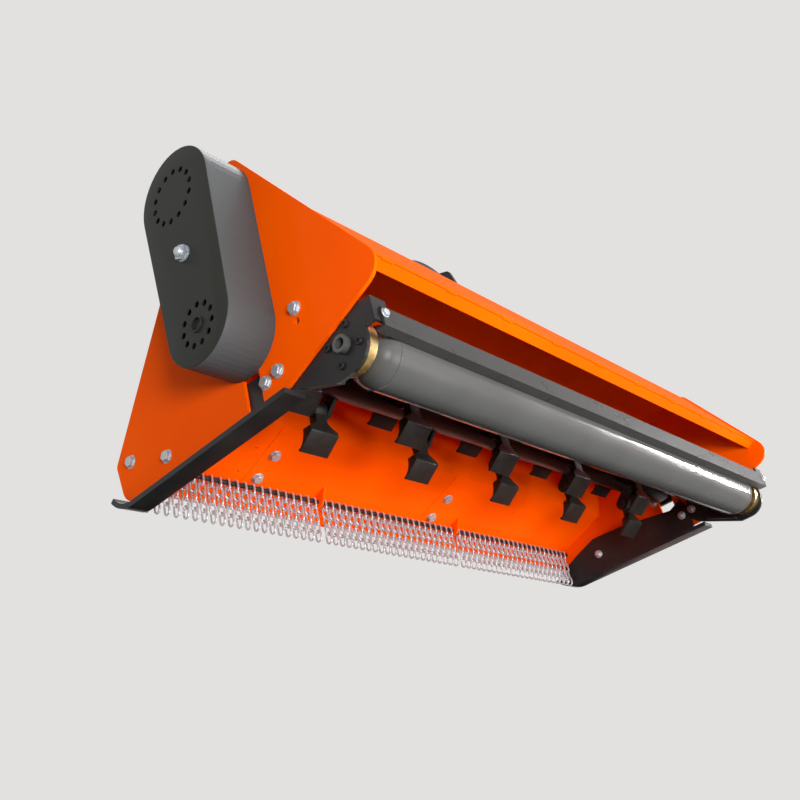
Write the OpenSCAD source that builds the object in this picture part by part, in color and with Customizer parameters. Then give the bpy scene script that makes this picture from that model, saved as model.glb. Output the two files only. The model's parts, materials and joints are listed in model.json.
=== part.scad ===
// Rear-mounted flail mower: a welded hood with a hammer rotor driven by belts at its left end,
// a rear roller, skids, and a curtain of chains along the front.
// Machine axes: X to the right seen from behind, Y forward, Z up. Y = 0 is the rotor axis and
// Z = 0 the underside of the skids. The machine then stands on its roller and its skid noses.

/* [Body] */
// Width over the side plates
body_w = 1800; // [1600:10:2100]
// Thickness of the side plates
plate_t = 8; // [6:0.5:12]
// Thickness of the hood sheets
sheet_t = 5; // [3:0.5:8]
// Height of the rotor axis above the runners
rotor_z = 191; // [185:1:205]
// Height of the side plates' lower edge above the runners
plate_floor = 25; // [20:1:32]
// Top of the left side plate, which carries the belt drive
drive_top = 661; // [640:1:720]
// Top of the right side plate
hood_top = 450; // [435:1:520]
// Slope of the side plates' front edge
front_angle = 55.3; // [52:0.1:58]
// Slope of the side plates' rear edge
rear_angle = 57.5; // [55:0.1:60]
// Forward reach of the side plates
nose_y = 478; // [465:1:500]
// Height of the side plates' front corner
nose_z = 134; // [125:1:145]
// Forward end of the side plates' lower edge
nose_foot_y = 454; // [445:1:462]
// Rearmost corner of the side plates before rounding
rear_y = -392; // [-410:1:-385]
// Height of that rear corner
rear_z = 134; // [125:1:142]
// Rear end of the side plates' lower edge
heel_y = -95; // [-110:1:-85]
// Width of the slot through which the rotor drops out
slot_w = 49; // [48:0.5:54]

/* [Hood] */
// Fold between the apron and the chamber wall, forward of the rotor
fold_y = 248; // [235:1:262]
// Height of that fold
fold_z = 198; // [190:1:206]
// Front edge of the apron
lip_y = 455; // [448:1:460]
// Height of the apron's front edge
lip_z = 126; // [122:1:130]
// Depth of the flange under the apron's front edge
flange_drop = 54; // [40:1:60]
// Top of the chamber's front wall, forward of the rotor
knee_y = 205; // [195:1:215]
// Height of the top of the chamber's front wall
knee_z = 335; // [325:1:345]
// Forward end of the flat roof
roof_y = 120; // [112:1:130]
// Height of the roof's underside
roof_z = 415; // [408:1:425]
// Lower end of the rear sheet
skirt_z = 187; // [180:1:195]
// Set-in of the rear sheet from the side plates' edge
rear_inset = 4; // [2:0.5:8]
// Width of the flat bar along the rear sheet
rail_w = 26; // [20:1:34]
// Thickness of the flat bar along the rear sheet
rail_t = 6; // [4:0.5:8]

/* [Skids] */
// Width of a runner
runner_w = 53; // [45:1:60]
// Overhang of a runner outside its side plate
runner_out = 23; // [15:1:26]
// Thickness of a runner
runner_t = 12; // [8:1:14]
// Rear end of a runner
runner_rear = -106; // [-120:1:-98]
// Place where a runner starts to curl up
runner_front = 400; // [390:1:410]
// Radius of the runner's curl
curl_r = 96; // [85:1:110]
// Sweep of the runner's curl
curl_sweep = 54; // [45:1:60]
// Thickness of the skid's upright plate
upright_t = 10; // [8:0.5:11]
// Rear end of the upright plate
upright_rear = -64; // [-72:1:-58]
// Front end of the upright plate
upright_front = 434; // [425:1:440]
// Top of the upright plate above the runners
upright_top = 127; // [120:1:135]

/* [Roller] */
// Radius of the roller
roller_r = 64; // [60:0.5:68]
// Wall of the roller tube
roller_wall = 6; // [4:0.5:8]
// Distance of the roller axis behind the rotor axis
roller_y = -245; // [-252:1:-240]
// Height of the roller axis above the runners
roller_z = 34; // [25:1:45]
// Length of a domed roller end
dome_len = 50; // [40:1:60]
// Radius of the roller's hollow stub shafts
stub_r = 18; // [16:0.5:22]
// Bore of the hollow stub shafts
stub_bore_r = 11; // [8:0.5:13]
// Length of a stub shaft outside its bracket
stub_out = 12; // [6:1:18]
// Thickness of the roller brackets
bracket_t = 8; // [6:0.5:10]
// Radius of the roller bearing housings
roller_bearing_r = 54; // [50:0.5:58]
// Depth of the roller bearing housings
roller_bearing_t = 28; // [22:1:34]
// Radius of the bearing's bolt circle
roller_bolt_circle_r = 41; // [38:0.5:44]

/* [Scraper] */
// Height of the scraper angle
scraper_h = 43; // [36:1:50]
// Thickness of the scraper angle
scraper_t = 5; // [4:0.5:7]
// Rear face of the scraper behind the rotor axis
scraper_y = -335; // [-340:1:-331]
// Height of the scraper's underside above the runners
scraper_z = 30; // [24:1:36]
// Gap between the scraper's blade and the roller
scraper_gap = 2; // [1:0.5:4]

/* [Chain guard] */
// Radius of the rod that carries the chains
rod_r = 5.6; // [5:0.1:6]
// Place of the rod forward of the rotor axis
rod_y = 421; // [415:1:426]
// Height of the rod above the runners
rod_z = 120; // [118:0.5:122]
// Diameter of the chain wire
wire_d = 5.5; // [4.5:0.25:6]
// Inner length of a chain link
link_inner = 24; // [22:0.25:24.25]
// Play of a chain link on the rod
rod_play = 0.8; // [0.6:0.1:1.2]
// Distance between strands
strand_pitch = 25; // [24:0.5:32]
// Thickness of the rod's gussets
gusset_t = 6; // [5:0.5:8]
// Place of the left gusset
gusset_left_x = -324; // [-360:1:-280]
// Place of the right gusset
gusset_right_x = 248; // [200:1:300]

/* [Rotor] */
// Radius of the rotor tube
tube_r = 57; // [50:0.5:60]
// Wall of the rotor tube
tube_wall = 10; // [8:0.5:14]
// Gap between the rotor tube's end and the side plate
tube_end_gap = 24; // [20:1:28]
// Radius of the rotor's stub shafts
shaft_r = 22.5; // [20:0.5:23.5]
// Distance of the hammer bolts from the rotor axis
pin_orbit = 92; // [90:0.5:98]
// Thickness of a hammer lug
lug_t = 10; // [8:0.5:12]
// Radius of a lug's round end
lug_r = 20; // [18:0.5:22]

/* [Hammers] */
// Width of a hammer's foot
hammer_w = 84; // [76:0.5:84]
// Width of a hammer's shank between the lugs
shank_w = 34; // [28:0.5:38]
// Length of a hammer from its bolt to its edge
hammer_len = 100; // [92:1:104]
// Reach of a hammer's cutting edge in front of its bolt
foot_half = 34; // [28:0.5:36]
// Reach of a hammer's heel behind its bolt
heel_half = 16; // [12:0.5:20]
// Half thickness of a hammer's shank
shank_half = 11; // [9:0.5:13]
// Radius of a hammer's eye
eye_r = 19; // [17:0.5:19.5]
// Radius of a hammer bolt
pin_r = 8; // [7:0.25:9]

/* [Belt drive] */
// Depth of the belt guard
guard_depth = 120; // [112:1:140]
// Sheet thickness of the belt guard
guard_t = 3; // [2:0.5:5]
// Depth of the guard's dark face
guard_face_t = 14; // [8:1:16]
// Radius of the guard's upper end
guard_upper_r = 112; // [108:1:118]
// Radius of the guard's lower end
guard_lower_r = 97; // [92:1:102]
// Place of the cross shaft forward of the rotor axis
cross_y = 24; // [16:1:30]
// Height of the cross shaft above the runners
cross_z = 546; // [535:1:555]
// Radius of the upper pulley
upper_pulley_r = 90; // [80:1:95]
// Radius of the lower pulley
lower_pulley_r = 70; // [60:1:78]
// Width of one belt
belt_w = 13; // [11:0.5:14]
// Height of a belt's section
belt_h = 9; // [7:0.5:10]
// Number of belts
belt_count = 3; // [2:1:3]
// Radius of the cross shaft
cross_shaft_r = 20; // [17:0.5:24]
// Outer radius of the cross tube
cross_tube_r = 45; // [40:0.5:52]
// Depth of the rotor bearing housings
rotor_bearing_t = 36; // [30:1:38]
// Half width of the square rotor bearing flanges
rotor_bearing_half = 58; // [54:1:59]

/* [Gearbox and hitch] */
// Place of the hitch's centre line along the body
hitch_x = -204; // [-240:1:-150]
// Radius of the gearbox drum
gearbox_r = 112; // [100:1:114]
// Distance between the lower hitch brackets
lower_span = 678; // [660:1:690]
// Place of the lower hitch bores forward of the rotor axis
lower_pin_y = 490; // [480:1:505]
// Height of the lower hitch bores above the runners
lower_pin_z = 300; // [285:1:330]
// Radius of the lower hitch bores
lower_bore_r = 11.25; // [11.2:0.05:14.3]
// Clear width of a lower hitch clevis
lower_gap = 50; // [46:1:60]
// Place of the top link bore forward of the rotor axis
top_pin_y = 330; // [310:1:345]
// Height of the top link bore above the runners
top_pin_z = 775; // [760:1:800]
// Radius of the top link bore
top_bore_r = 9.75; // [9.7:0.05:12.9]
// Clear width between the top link ears
top_gap = 52; // [46:1:60]
// Distance between the mast plates
mast_gap = 232; // [230:1:250]
// Thickness of the mast plates and the hitch plates
mast_t = 10; // [8:0.5:14]
// Radius of the splined input shaft
input_r = 17.4; // [17:0.1:22]
// Length of the splined input shaft outside the gearbox
input_len = 85; // [75:1:100]

/* [Fasteners] */
// Radius of the frame bolts
bolt_r = 7; // [5:0.5:8]
// Height of a bolt head or nut
bolt_head_h = 9; // [6:0.5:10]
// Radius of a bolt head over its corners
bolt_head_r = 13; // [10:0.5:15]

/* [Hidden] */
$fn = 48;
// Running clearance between a shaft and its bore
run_gap = 0.05;
// Clearance between a bolt and its hole, and between pieces that move past each other
fit_gap = 0.5;
// Overrun of a cut past the face it opens
over = 1;
half_w = body_w / 2;
inner_w = half_w - plate_t;
// Radii of the side plates' corners, from the heel forward and round
heel_r = 25;
nose_r = 48;
nose_corner_r = 18;
top_r = 40;
rear_r = 45;

function along(angle) = [cos(angle), sin(angle)];
function right_of(d) = [d[1], -d[0]] / norm(d);
function front_edge_y(z) = nose_y - (z - nose_z) / tan(front_angle);
function rear_edge_y(z) = rear_y + (z - rear_z) / tan(rear_angle);

// Centre of the fillet of radius r in the corner b between a and c
function fillet_centre(a, b, c, r) =
    let (u = (a - b) / norm(a - b), v = (c - b) / norm(c - b), half = acos(u * v) / 2)
    b + (u + v) / norm(u + v) * r / sin(half);

// Points of that fillet, from the edge towards a to the edge towards c
function fillet(a, b, c, r, steps = 6) =
    let (
        o = fillet_centre(a, b, c, r),
        u = (a - b) / norm(a - b),
        v = (c - b) / norm(c - b),
        p = b + u * ((o - b) * u) - o,
        q = b + v * ((o - b) * v) - o,
        start = atan2(p[1], p[0]),
        turn = atan2(p[0] * q[1] - p[1] * q[0], p * q)
    )
    [for (i = [0:steps]) o + r * along(start + turn * i / steps)];

function flat(p) = [p[0], p[1]];

// Closed outline with each [y, z, radius] corner rounded
function rounded(pts) =
    let (n = len(pts))
    [for (i = [0:n - 1])
        each pts[i][2] > 0
            ? fillet(flat(pts[(i + n - 1) % n]), flat(pts[i]), flat(pts[(i + 1) % n]), pts[i][2])
            : [flat(pts[i])]];

// The other face of a bent sheet: its points moved by t to the right of their path, mitred
function offset_path(pts, t) =
    let (n = len(pts))
    [for (i = [0:n - 1])
        let (
            before = right_of(pts[max(i, 1)] - pts[max(i, 1) - 1]),
            after = right_of(pts[min(i + 1, n - 1)] - pts[min(i + 1, n - 1) - 1])
        )
        pts[i] + t * (before + after) / (1 + before * after)];

function backwards(pts) = [for (i = [len(pts) - 1:-1:0]) pts[i]];
function span(pts, from, to) = [for (i = [from:to]) pts[i]];
function sheet_between(inner, outer, from, to) =
    concat(span(inner, from, to), backwards(span(outer, from, to)));

// Outline round two circles and their outer tangents
arc_steps = 22;
function loop_outline(c1, r1, c2, r2) =
    let (
        axis = c1 - c2,
        heading = atan2(axis[1], axis[0]),
        half = acos((r2 - r1) / norm(axis))
    )
    concat(
        [for (i = [0:arc_steps]) c1 + r1 * along(heading - half + 2 * half * i / arc_steps)],
        [for (i = [0:arc_steps]) c2 + r2 * along(heading + half + (360 - 2 * half) * i / arc_steps)]
    );

// Stance: the tangent line under the roller and the skid noses becomes the ground
roller_axis = [roller_y, roller_z];
curl_axis = [runner_front, curl_r];
stand_line = curl_axis - roller_axis;
pitch = atan2(stand_line[1], stand_line[0]) - asin((curl_r - roller_r) / norm(stand_line));
function stood_y(p) = p[0] * cos(pitch) + p[1] * sin(pitch);
function stood_z(p) = p[1] * cos(pitch) - p[0] * sin(pitch);

// Origin: under the middle of the whole machine's box
nut_stack = 24;
cap_t = 5;
lower_eye_r = 32;
lower_axis = [lower_pin_y, lower_pin_z];
rear_tip = fillet_centre([rear_edge_y(roof_z), roof_z], [rear_y, rear_z], [heel_y, plate_floor], rear_r);
left_end = half_w + guard_depth + nut_stack;
right_end = half_w + rotor_bearing_t;
mid_x = (right_end - left_end) / 2;
mid_y = (stood_y(lower_axis) + lower_eye_r + stood_y(rear_tip) - rear_r) / 2;
ground_z = stood_z(roller_axis) - roller_r;

module stand() {
    translate([-mid_x, -mid_y, -ground_z]) rotate([-pitch, 0, 0]) children();
}

// A piece that hangs plumb from the machine point [y, z]
module hang(p) {
    translate([-mid_x, stood_y(p) - mid_y, stood_z(p) - ground_z]) children();
}

// A [y, z] profile extruded to the right from x
module profile(x, len) {
    translate([x, 0, 0]) rotate([90, 0, 90]) linear_extrude(len) children();
}

// A round bar to the right from x
module bar(x, p, len, r) {
    translate([x, p[0], p[1]]) rotate([0, 90, 0]) cylinder(h = len, r = r);
}

// A revolved [radius, x] profile round the X line through p
module turned(p) {
    translate([0, p[0], p[1]]) rotate([90, 0, 90]) rotate_extrude() children();
}

module on_side(side) {
    mirror([side < 0 ? 1 : 0, 0, 0]) children();
}

rotor_axis = [0, rotor_z];
cross_axis = [cross_y, cross_z];
rod_axis = [rod_y, rod_z];

// Bolts through the side plates: two for the skid, two for the roller bracket, one for the rod
skid_bolts = [[292, 69], [-39, 66]];
bracket_bolts = [[-152, 175], [-77, 72]];
bracket_spare = [-150, 146];
rotor_bolt_share = 0.72;
rotor_bolts = [for (y = [-1, 1], z = [-1, 1])
    rotor_axis + rotor_bearing_half * rotor_bolt_share * [y, z]];
plate_bolts = concat(skid_bolts, bracket_bolts, [rod_axis], rotor_bolts);

function plate_outline(top) = rounded([
    [heel_y, plate_floor, heel_r],
    [nose_foot_y, plate_floor, nose_r],
    [nose_y, nose_z, nose_corner_r],
    [front_edge_y(top), top, top_r],
    [rear_edge_y(top), top, top_r],
    [rear_y, rear_z, rear_r]
]);

module bolt_holes(points, r) {
    for (p = points)
        translate(p) circle(r = r + fit_gap);
}

module side_plate(top) {
    profile(inner_w, plate_t) difference() {
        polygon(plate_outline(top));
        translate(rotor_axis) circle(d = slot_w);
        translate([-slot_w / 2, 0]) square([slot_w, rotor_z]);
        bolt_holes(plate_bolts, bolt_r);
        translate(bracket_spare) circle(r = bolt_r + fit_gap);
    }
}

module left_side_plate() {
    color("orangered") stand() difference() {
        on_side(-1) side_plate(drive_top);
        bar(-half_w - over, cross_axis, plate_t + 2 * over, cross_shaft_r + fit_gap);
    }
}

module right_side_plate() {
    color("orangered") stand() side_plate(hood_top);
}

// Inner face of the front sheet and the roof, from the flange over the apron to the rear
flange_lean = 3;
function rear_in_y(z) = rear_edge_y(z) + (rear_inset + sheet_t) / sin(rear_angle);
hood_inner = [
    [lip_y + flange_lean, lip_z - flange_drop],
    [lip_y, lip_z],
    [fold_y, fold_z],
    [knee_y, knee_z],
    [roof_y, roof_z],
    [rear_in_y(roof_z), roof_z]
];
hood_offset = offset_path(hood_inner, sheet_t);
hood_outer = concat(span(hood_offset, 0, 4), [[rear_in_y(roof_z + sheet_t), roof_z + sheet_t]]);
knee_index = 3;

// The apron's slope, with a point on its underside at y
apron_angle = atan2(lip_z - fold_z, lip_y - fold_y);
function apron_z(y) = fold_z + (y - fold_y) * tan(apron_angle);

// Apron bolts in pairs under the lower hitch brackets, and a spare pair outside each
apron_bolt_ys = [331, 406];
spare_hole_ys = [323, 400];
spare_hole_xs = [-609, 460];
spare_hole_r = 3;
hitch_sides = [-1, 1];

module at_apron(x, y) {
    translate([x, y, apron_z(y)]) rotate([apron_angle, 0, 0]) children();
}

module apron_hole(r) {
    translate([0, 0, -over]) cylinder(h = sheet_t + 2 * over, r = r + fit_gap);
}

module front_sheet() {
    color("darkorange") stand() difference() {
        profile(-inner_w, 2 * inner_w)
            polygon(sheet_between(hood_inner, hood_outer, 0, knee_index));
        for (side = hitch_sides, y = apron_bolt_ys)
            at_apron(hitch_x + side * lower_span / 2, y) apron_hole(bolt_r);
        for (x = spare_hole_xs, y = spare_hole_ys)
            at_apron(x, y) apron_hole(spare_hole_r);
    }
}

module roof_sheet() {
    color("darkorange") stand() profile(-inner_w, 2 * inner_w)
        polygon(sheet_between(hood_inner, hood_outer, knee_index, len(hood_inner) - 1));
}

// The rear sheet runs down the side plates' rear edge, with a flat bar inside its lower edge
rear_up = along(rear_angle);
rear_in = right_of(rear_up);
skirt_foot = [rear_in_y(skirt_z), skirt_z];

module rear_sheet() {
    crown = [rear_in_y(roof_z + sheet_t), roof_z + sheet_t];
    color("darkorange") stand() profile(-inner_w, 2 * inner_w)
        polygon([skirt_foot, crown, crown - sheet_t * rear_in, skirt_foot - sheet_t * rear_in]);
}

module rear_rail() {
    far = skirt_foot + rail_w * rear_in;
    color("darkorange") stand() profile(-inner_w, 2 * inner_w)
        polygon([skirt_foot, far, far + rail_t * rear_up, skirt_foot + rail_t * rear_up]);
}

// Outline of a skid's upright plate in shares of its length and height
upright_shares = [[0, 0], [1, 0], [1, 0.52], [0.88, 0.75], [0.72, 1], [0.48, 0.965],
    [0.115, 0.75], [0.025, 0.93], [0, 0.65]];

module runner_outline() {
    translate([runner_rear, 0]) square([runner_front - runner_rear, runner_t]);
    translate(curl_axis) intersection() {
        difference() {
            circle(r = curl_r);
            circle(r = curl_r - runner_t);
        }
        polygon([[0, 0], [0, -2 * curl_r], 2 * curl_r * along(curl_sweep / 2 - 90) / cos(curl_sweep / 2),
            2 * curl_r * along(curl_sweep - 90)]);
    }
}

module skid() {
    upright_len = upright_front - upright_rear;
    upright_h = upright_top - runner_t;
    profile(half_w + runner_out - runner_w, runner_w) runner_outline();
    profile(inner_w - upright_t, upright_t) difference() {
        polygon([for (s = upright_shares)
            [upright_rear + s[0] * upright_len, runner_t + s[1] * upright_h]]);
        difference() {
            translate([runner_front, 0]) square(curl_r);
            translate(curl_axis) circle(r = curl_r - runner_t);
        }
        bolt_holes(skid_bolts, bolt_r);
    }
}

module left_skid() {
    color("dimgray") stand() on_side(-1) skid();
}

module right_skid() {
    color("dimgray") stand() skid();
}

// Hex bolt lying along X from the outer face x inwards through a grip, with a nut at its end
module plate_bolt(p, grip, nut) {
    bar(half_w - grip, p, grip, bolt_r);
    translate([half_w, p[0], p[1]]) rotate([0, 90, 0]) cylinder(h = bolt_head_h, r = bolt_head_r, $fn = 6);
    if (nut)
        translate([half_w - grip - bolt_head_h, p[0], p[1]]) rotate([0, 90, 0])
            cylinder(h = bolt_head_h, r = bolt_head_r, $fn = 6);
}

roller_bolt_r = 5;
roller_bolt_head_r = 8;
roller_bolt_head_h = 5;
roller_bolt_start = 21;
roller_bolts = [for (i = [0:3]) roller_axis + roller_bolt_circle_r * along(roller_bolt_start + 90 * i)];

module body_bolts() {
    color("silver") stand() {
        for (side = hitch_sides) on_side(side) {
            for (p = skid_bolts) plate_bolt(p, plate_t + upright_t, true);
            for (p = bracket_bolts) plate_bolt(p, plate_t + bracket_t, true);
            plate_bolt(rod_axis, plate_t, false);
            for (p = rotor_bolts)
                translate([rotor_flange_t, 0, 0]) plate_bolt(p, plate_t + rotor_flange_t, true);
            for (p = roller_bolts) {
                bar(inner_w - bracket_t - roller_bearing_t, p, bracket_t + roller_bearing_t, roller_bolt_r);
                bar(inner_w, p, roller_bolt_head_h, roller_bolt_head_r);
            }
        }
        for (side = hitch_sides, y = apron_bolt_ys)
            at_apron(hitch_x + side * lower_span / 2, y) {
                cylinder(h = sheet_t + mast_t, r = bolt_r);
                translate([0, 0, -bolt_head_h]) cylinder(h = bolt_head_h, r = bolt_head_r, $fn = 6);
                translate([0, 0, sheet_t + mast_t]) cylinder(h = bolt_head_h, r = bolt_head_r, $fn = 6);
            }
    }
}

// Roller: domed drum on hollow stubs, in flange bearings on two brackets
stub_end = inner_w + stub_out;
dome_clear = 6;
dome_end = inner_w - bracket_t - roller_bearing_t - dome_clear;
tube_end = dome_end - dome_len;
dome_steps = 8;
function dome(r, len, from_angle, to_angle) = [for (i = [0:dome_steps])
    let (a = from_angle + (to_angle - from_angle) * i / dome_steps)
    [r * cos(a), len * sin(a)]];
dome_root_angle = acos(stub_r / roller_r);
dome_inner_angle = acos(stub_bore_r / (roller_r - roller_wall));

roller_outer = [for (p = dome(roller_r, dome_len, 0, dome_root_angle)) [p[0], tube_end + p[1]]];
roller_inner = [for (p = dome(roller_r - roller_wall, dome_len - roller_wall, dome_inner_angle, 0))
    [p[0], tube_end + p[1]]];
outer_half = concat(roller_outer, [[stub_r, stub_end]]);
inner_half = concat([[stub_bore_r, stub_end]], roller_inner);
function mirrored(pts) = backwards([for (p = pts) [p[0], -p[1]]]);

module roller() {
    color("gray") stand() turned(roller_axis)
        polygon(concat(mirrored(outer_half), outer_half, inner_half, mirrored(inner_half)));
}

module roller_bearing() {
    difference() {
        bar(inner_w - bracket_t - roller_bearing_t, roller_axis, roller_bearing_t, roller_bearing_r);
        bar(0, roller_axis, half_w, stub_r + run_gap);
        for (p = roller_bolts)
            bar(0, p, half_w, roller_bolt_r + fit_gap);
    }
}

module roller_bearings() {
    color("darkkhaki") stand() for (side = hitch_sides) on_side(side) roller_bearing();
}

// Roller bracket: a plate inside the side plate with a folded foot and an ear for the scraper
bracket_rear = -303;
bracket_front = upright_rear - 2 * over;
bracket_top = 205;
ear_low = 40;
ear_high = 100;
ear_t = 6;
ear_in = 34;
foot_w = 20;
foot_t = 6;
bracket_corners = [[bracket_rear, ear_high, 8], [bracket_rear, -30, 55], [-215, -32, 20], [-95, 20, 15],
    [bracket_front, 42, 10], [bracket_front, 95, 14], [-120, bracket_top, 28], [-178, bracket_top, 28]];
foot_ends = [[-205, -22], [-115, 17]];

module roller_bracket() {
    plate_x = inner_w - bracket_t;
    ear_y = scraper_y + scraper_t;
    difference() {
        profile(plate_x, bracket_t) polygon(rounded(bracket_corners));
        bar(0, roller_axis, half_w, stub_r + fit_gap);
        for (p = roller_bolts) bar(0, p, half_w, roller_bolt_r + fit_gap);
        for (p = concat(bracket_bolts, [bracket_spare])) bar(0, p, half_w, bolt_r + fit_gap);
    }
    translate([plate_x, ear_y, ear_low])
        cube([bracket_t, bracket_rear + ear_t - ear_y, ear_high - ear_low - ear_t]);
    translate([plate_x - ear_in, ear_y, ear_low])
        cube([ear_in + bracket_t, ear_t, ear_high - ear_low - ear_t]);
    profile(plate_x - foot_w, foot_w + bracket_t)
        polygon(sheet_between(foot_ends, offset_path(foot_ends, -foot_t), 0, 1));
}

module left_roller_bracket() {
    color("darkslategray") stand() on_side(-1) roller_bracket();
}

module right_roller_bracket() {
    color("darkslategray") stand() roller_bracket();
}

module scraper() {
    end_x = inner_w - bracket_t - ear_in / 3;
    rise = scraper_z + scraper_t - roller_z;
    blade_y = roller_y - sqrt(roller_r * roller_r - rise * rise) - scraper_gap;
    color("slategray") stand() profile(-end_x, 2 * end_x) polygon([
        [scraper_y, scraper_z],
        [blade_y, scraper_z],
        [blade_y, scraper_z + scraper_t],
        [scraper_y + scraper_t, scraper_z + scraper_t],
        [scraper_y + scraper_t, scraper_z + scraper_h],
        [scraper_y, scraper_z + scraper_h]
    ]);
}

// Chain guard: a rod from plate to plate, two gussets, and three sections of chain strands
module chain_rod() {
    color("black") stand() bar(-inner_w, rod_axis, 2 * inner_w, rod_r);
}

gusset_top_half = 30;
gusset_foot_half = 14;
gusset_below = 14;

module rod_gussets() {
    front = rod_y + gusset_top_half - sheet_t;
    back = rod_y - gusset_top_half - sheet_t;
    color("darkorange") stand() for (x = [gusset_left_x, gusset_right_x])
        profile(x - gusset_t / 2, gusset_t) difference() {
            polygon([
                [back, apron_z(back)],
                [front, apron_z(front)],
                [rod_y + gusset_foot_half, rod_z - gusset_below],
                [rod_y - gusset_foot_half, rod_z - gusset_below]
            ]);
            translate(rod_axis) circle(r = rod_r + run_gap);
        }
}

// A link standing in the YZ plane, with its upper bend over the origin
link_gap = 0.6;
wire_r = wire_d / 2;
link_gap_w = 2 * rod_r + rod_play;
bend_r = (link_gap_w + wire_d) / 2;
link_straight = link_inner - link_gap_w;

module link_bend() {
    rotate_extrude(angle = 180) translate([bend_r, 0]) circle(r = wire_r, $fn = 16);
}

module chain_link() {
    translate([0, 0, -bend_r]) {
        rotate([90, 0, 90]) link_bend();
        translate([0, 0, -link_straight]) rotate([-90, 0, 90]) link_bend();
        for (y = [-bend_r, bend_r])
            translate([0, y, -link_straight]) cylinder(h = link_straight, r = wire_r, $fn = 16);
    }
}

// A strand: links that hang plumb from the rod, each turned a quarter against the last
strand_links = 5;
link_pitch = link_inner - link_gap;
first_bend = rod_r + wire_r + link_gap;

module strand() {
    for (i = [0:strand_links - 1])
        translate([0, 0, first_bend - i * link_pitch]) rotate([0, 0, i % 2 * 90]) chain_link();
}

strand_margin = 16;

module chain_section(from, to) {
    room = to - from - 2 * strand_margin;
    count = floor(room / strand_pitch);
    color("lightgray") hang(rod_axis) for (i = [0:count])
        translate([from + strand_margin + room * i / count, 0, 0]) strand();
}

module chain_left() {
    chain_section(-inner_w + upright_t, gusset_left_x - gusset_t / 2);
}

module chain_middle() {
    chain_section(gusset_left_x + gusset_t / 2, gusset_right_x - gusset_t / 2);
}

module chain_right() {
    chain_section(gusset_right_x + gusset_t / 2, inner_w - upright_t);
}

// Rotor: a tube with stub shafts, and a pair of lugs for each hammer on a four-start spiral
hammer_count = 20;
tube_end_x = inner_w - tube_end_gap;
hammer_pitch = 2 * tube_end_x / hammer_count;
row_angles = [-45, 135, 45, -135];
function hammer_x(i) = (i - (hammer_count - 1) / 2) * hammer_pitch;
function row_angle(i) = row_angles[i % 4];
function pin_at(i) = pin_orbit * along(row_angle(i) - 90);
lug_gap = 0.5;
shaft_left = half_w + guard_depth - guard_face_t - fit_gap;
shaft_right = right_end - cap_t - fit_gap;

module lug() {
    difference() {
        union() {
            circle(r = lug_r);
            translate([-lug_r, tube_r - pin_orbit - tube_wall])
                square([2 * lug_r, pin_orbit - tube_r + tube_wall]);
        }
        translate([0, -pin_orbit]) circle(r = tube_r + run_gap);
        circle(r = pin_r + run_gap);
    }
}

module at_pin(i) {
    translate([hammer_x(i), pin_at(i)[0], pin_at(i)[1]]) children();
}

module rotor() {
    color("darkslategray") hang(rotor_axis) turned([0, 0]) {
        translate([tube_r - tube_wall, -tube_end_x]) square([tube_wall, 2 * tube_end_x]);
        for (x = [-tube_end_x, tube_end_x - lug_t]) translate([0, x]) square([tube_r, lug_t]);
        translate([0, -shaft_left]) square([shaft_r, shaft_left - tube_end_x]);
        translate([0, tube_end_x]) square([shaft_r, shaft_right - tube_end_x]);
    }
}

module rotor_lugs() {
    lug_x = shank_w / 2 + lug_gap;
    color("slategray") hang(rotor_axis) for (i = [0:hammer_count - 1], x = [-lug_x - lug_t, lug_x])
        at_pin(i) rotate([row_angle(i) + 180, 0, 0]) profile(x, lug_t) lug();
}

module hammer_bolts() {
    grip = shank_w / 2 + lug_gap + lug_t;
    color("silver") hang(rotor_axis) for (i = [0:hammer_count - 1]) at_pin(i) {
        bar(-grip, [0, 0], 2 * grip, pin_r);
        translate([grip, 0, 0]) rotate([0, 90, 0]) cylinder(h = pin_head_h, r = pin_head_r, $fn = 6);
        translate([-grip - pin_head_h, 0, 0]) rotate([0, 90, 0])
            cylinder(h = pin_head_h, r = pin_head_r, $fn = 6);
    }
}
pin_head_h = 10;
pin_head_r = 13;

// Hammer: forged shape where a side profile and a front outline meet, with a bore for its bolt
neck_share = 0.36;
wing_share = 0.54;
waist_share = 0.48;
heel_share = 0.66;
edge_land = 4;
lip_h = 7;
scoop_steps = 6;
waist = hammer_len * waist_share;
heel_corners = [[-shank_half, -waist], [-heel_half, -hammer_len * heel_share]];
edge_corners = [[foot_half, -hammer_len + edge_land / 2], [foot_half - edge_land, -hammer_len]];
scoop = [for (i = [0:scoop_steps])
    let (a = 90 * i / scoop_steps)
    [shank_half + (foot_half - shank_half) * (1 - cos(a)),
        -waist - (hammer_len - lip_h - waist) * sin(a)]];

// From the side: a round eye, a scooped front, a cutting edge and a sole that rises to the heel
module hammer_side_profile() {
    circle(r = eye_r);
    polygon(concat([[shank_half, 0], [-shank_half, 0]], heel_corners,
        backwards(edge_corners), backwards(scoop)));
}

module hammer_front_outline() {
    polygon([
        [-shank_w / 2, eye_r + over],
        [-shank_w / 2, -hammer_len * neck_share],
        [-hammer_w / 2, -hammer_len * wing_share],
        [-hammer_w / 2, -hammer_len - over],
        [hammer_w / 2, -hammer_len - over],
        [hammer_w / 2, -hammer_len * wing_share],
        [shank_w / 2, -hammer_len * neck_share],
        [shank_w / 2, eye_r + over]
    ]);
}

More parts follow.
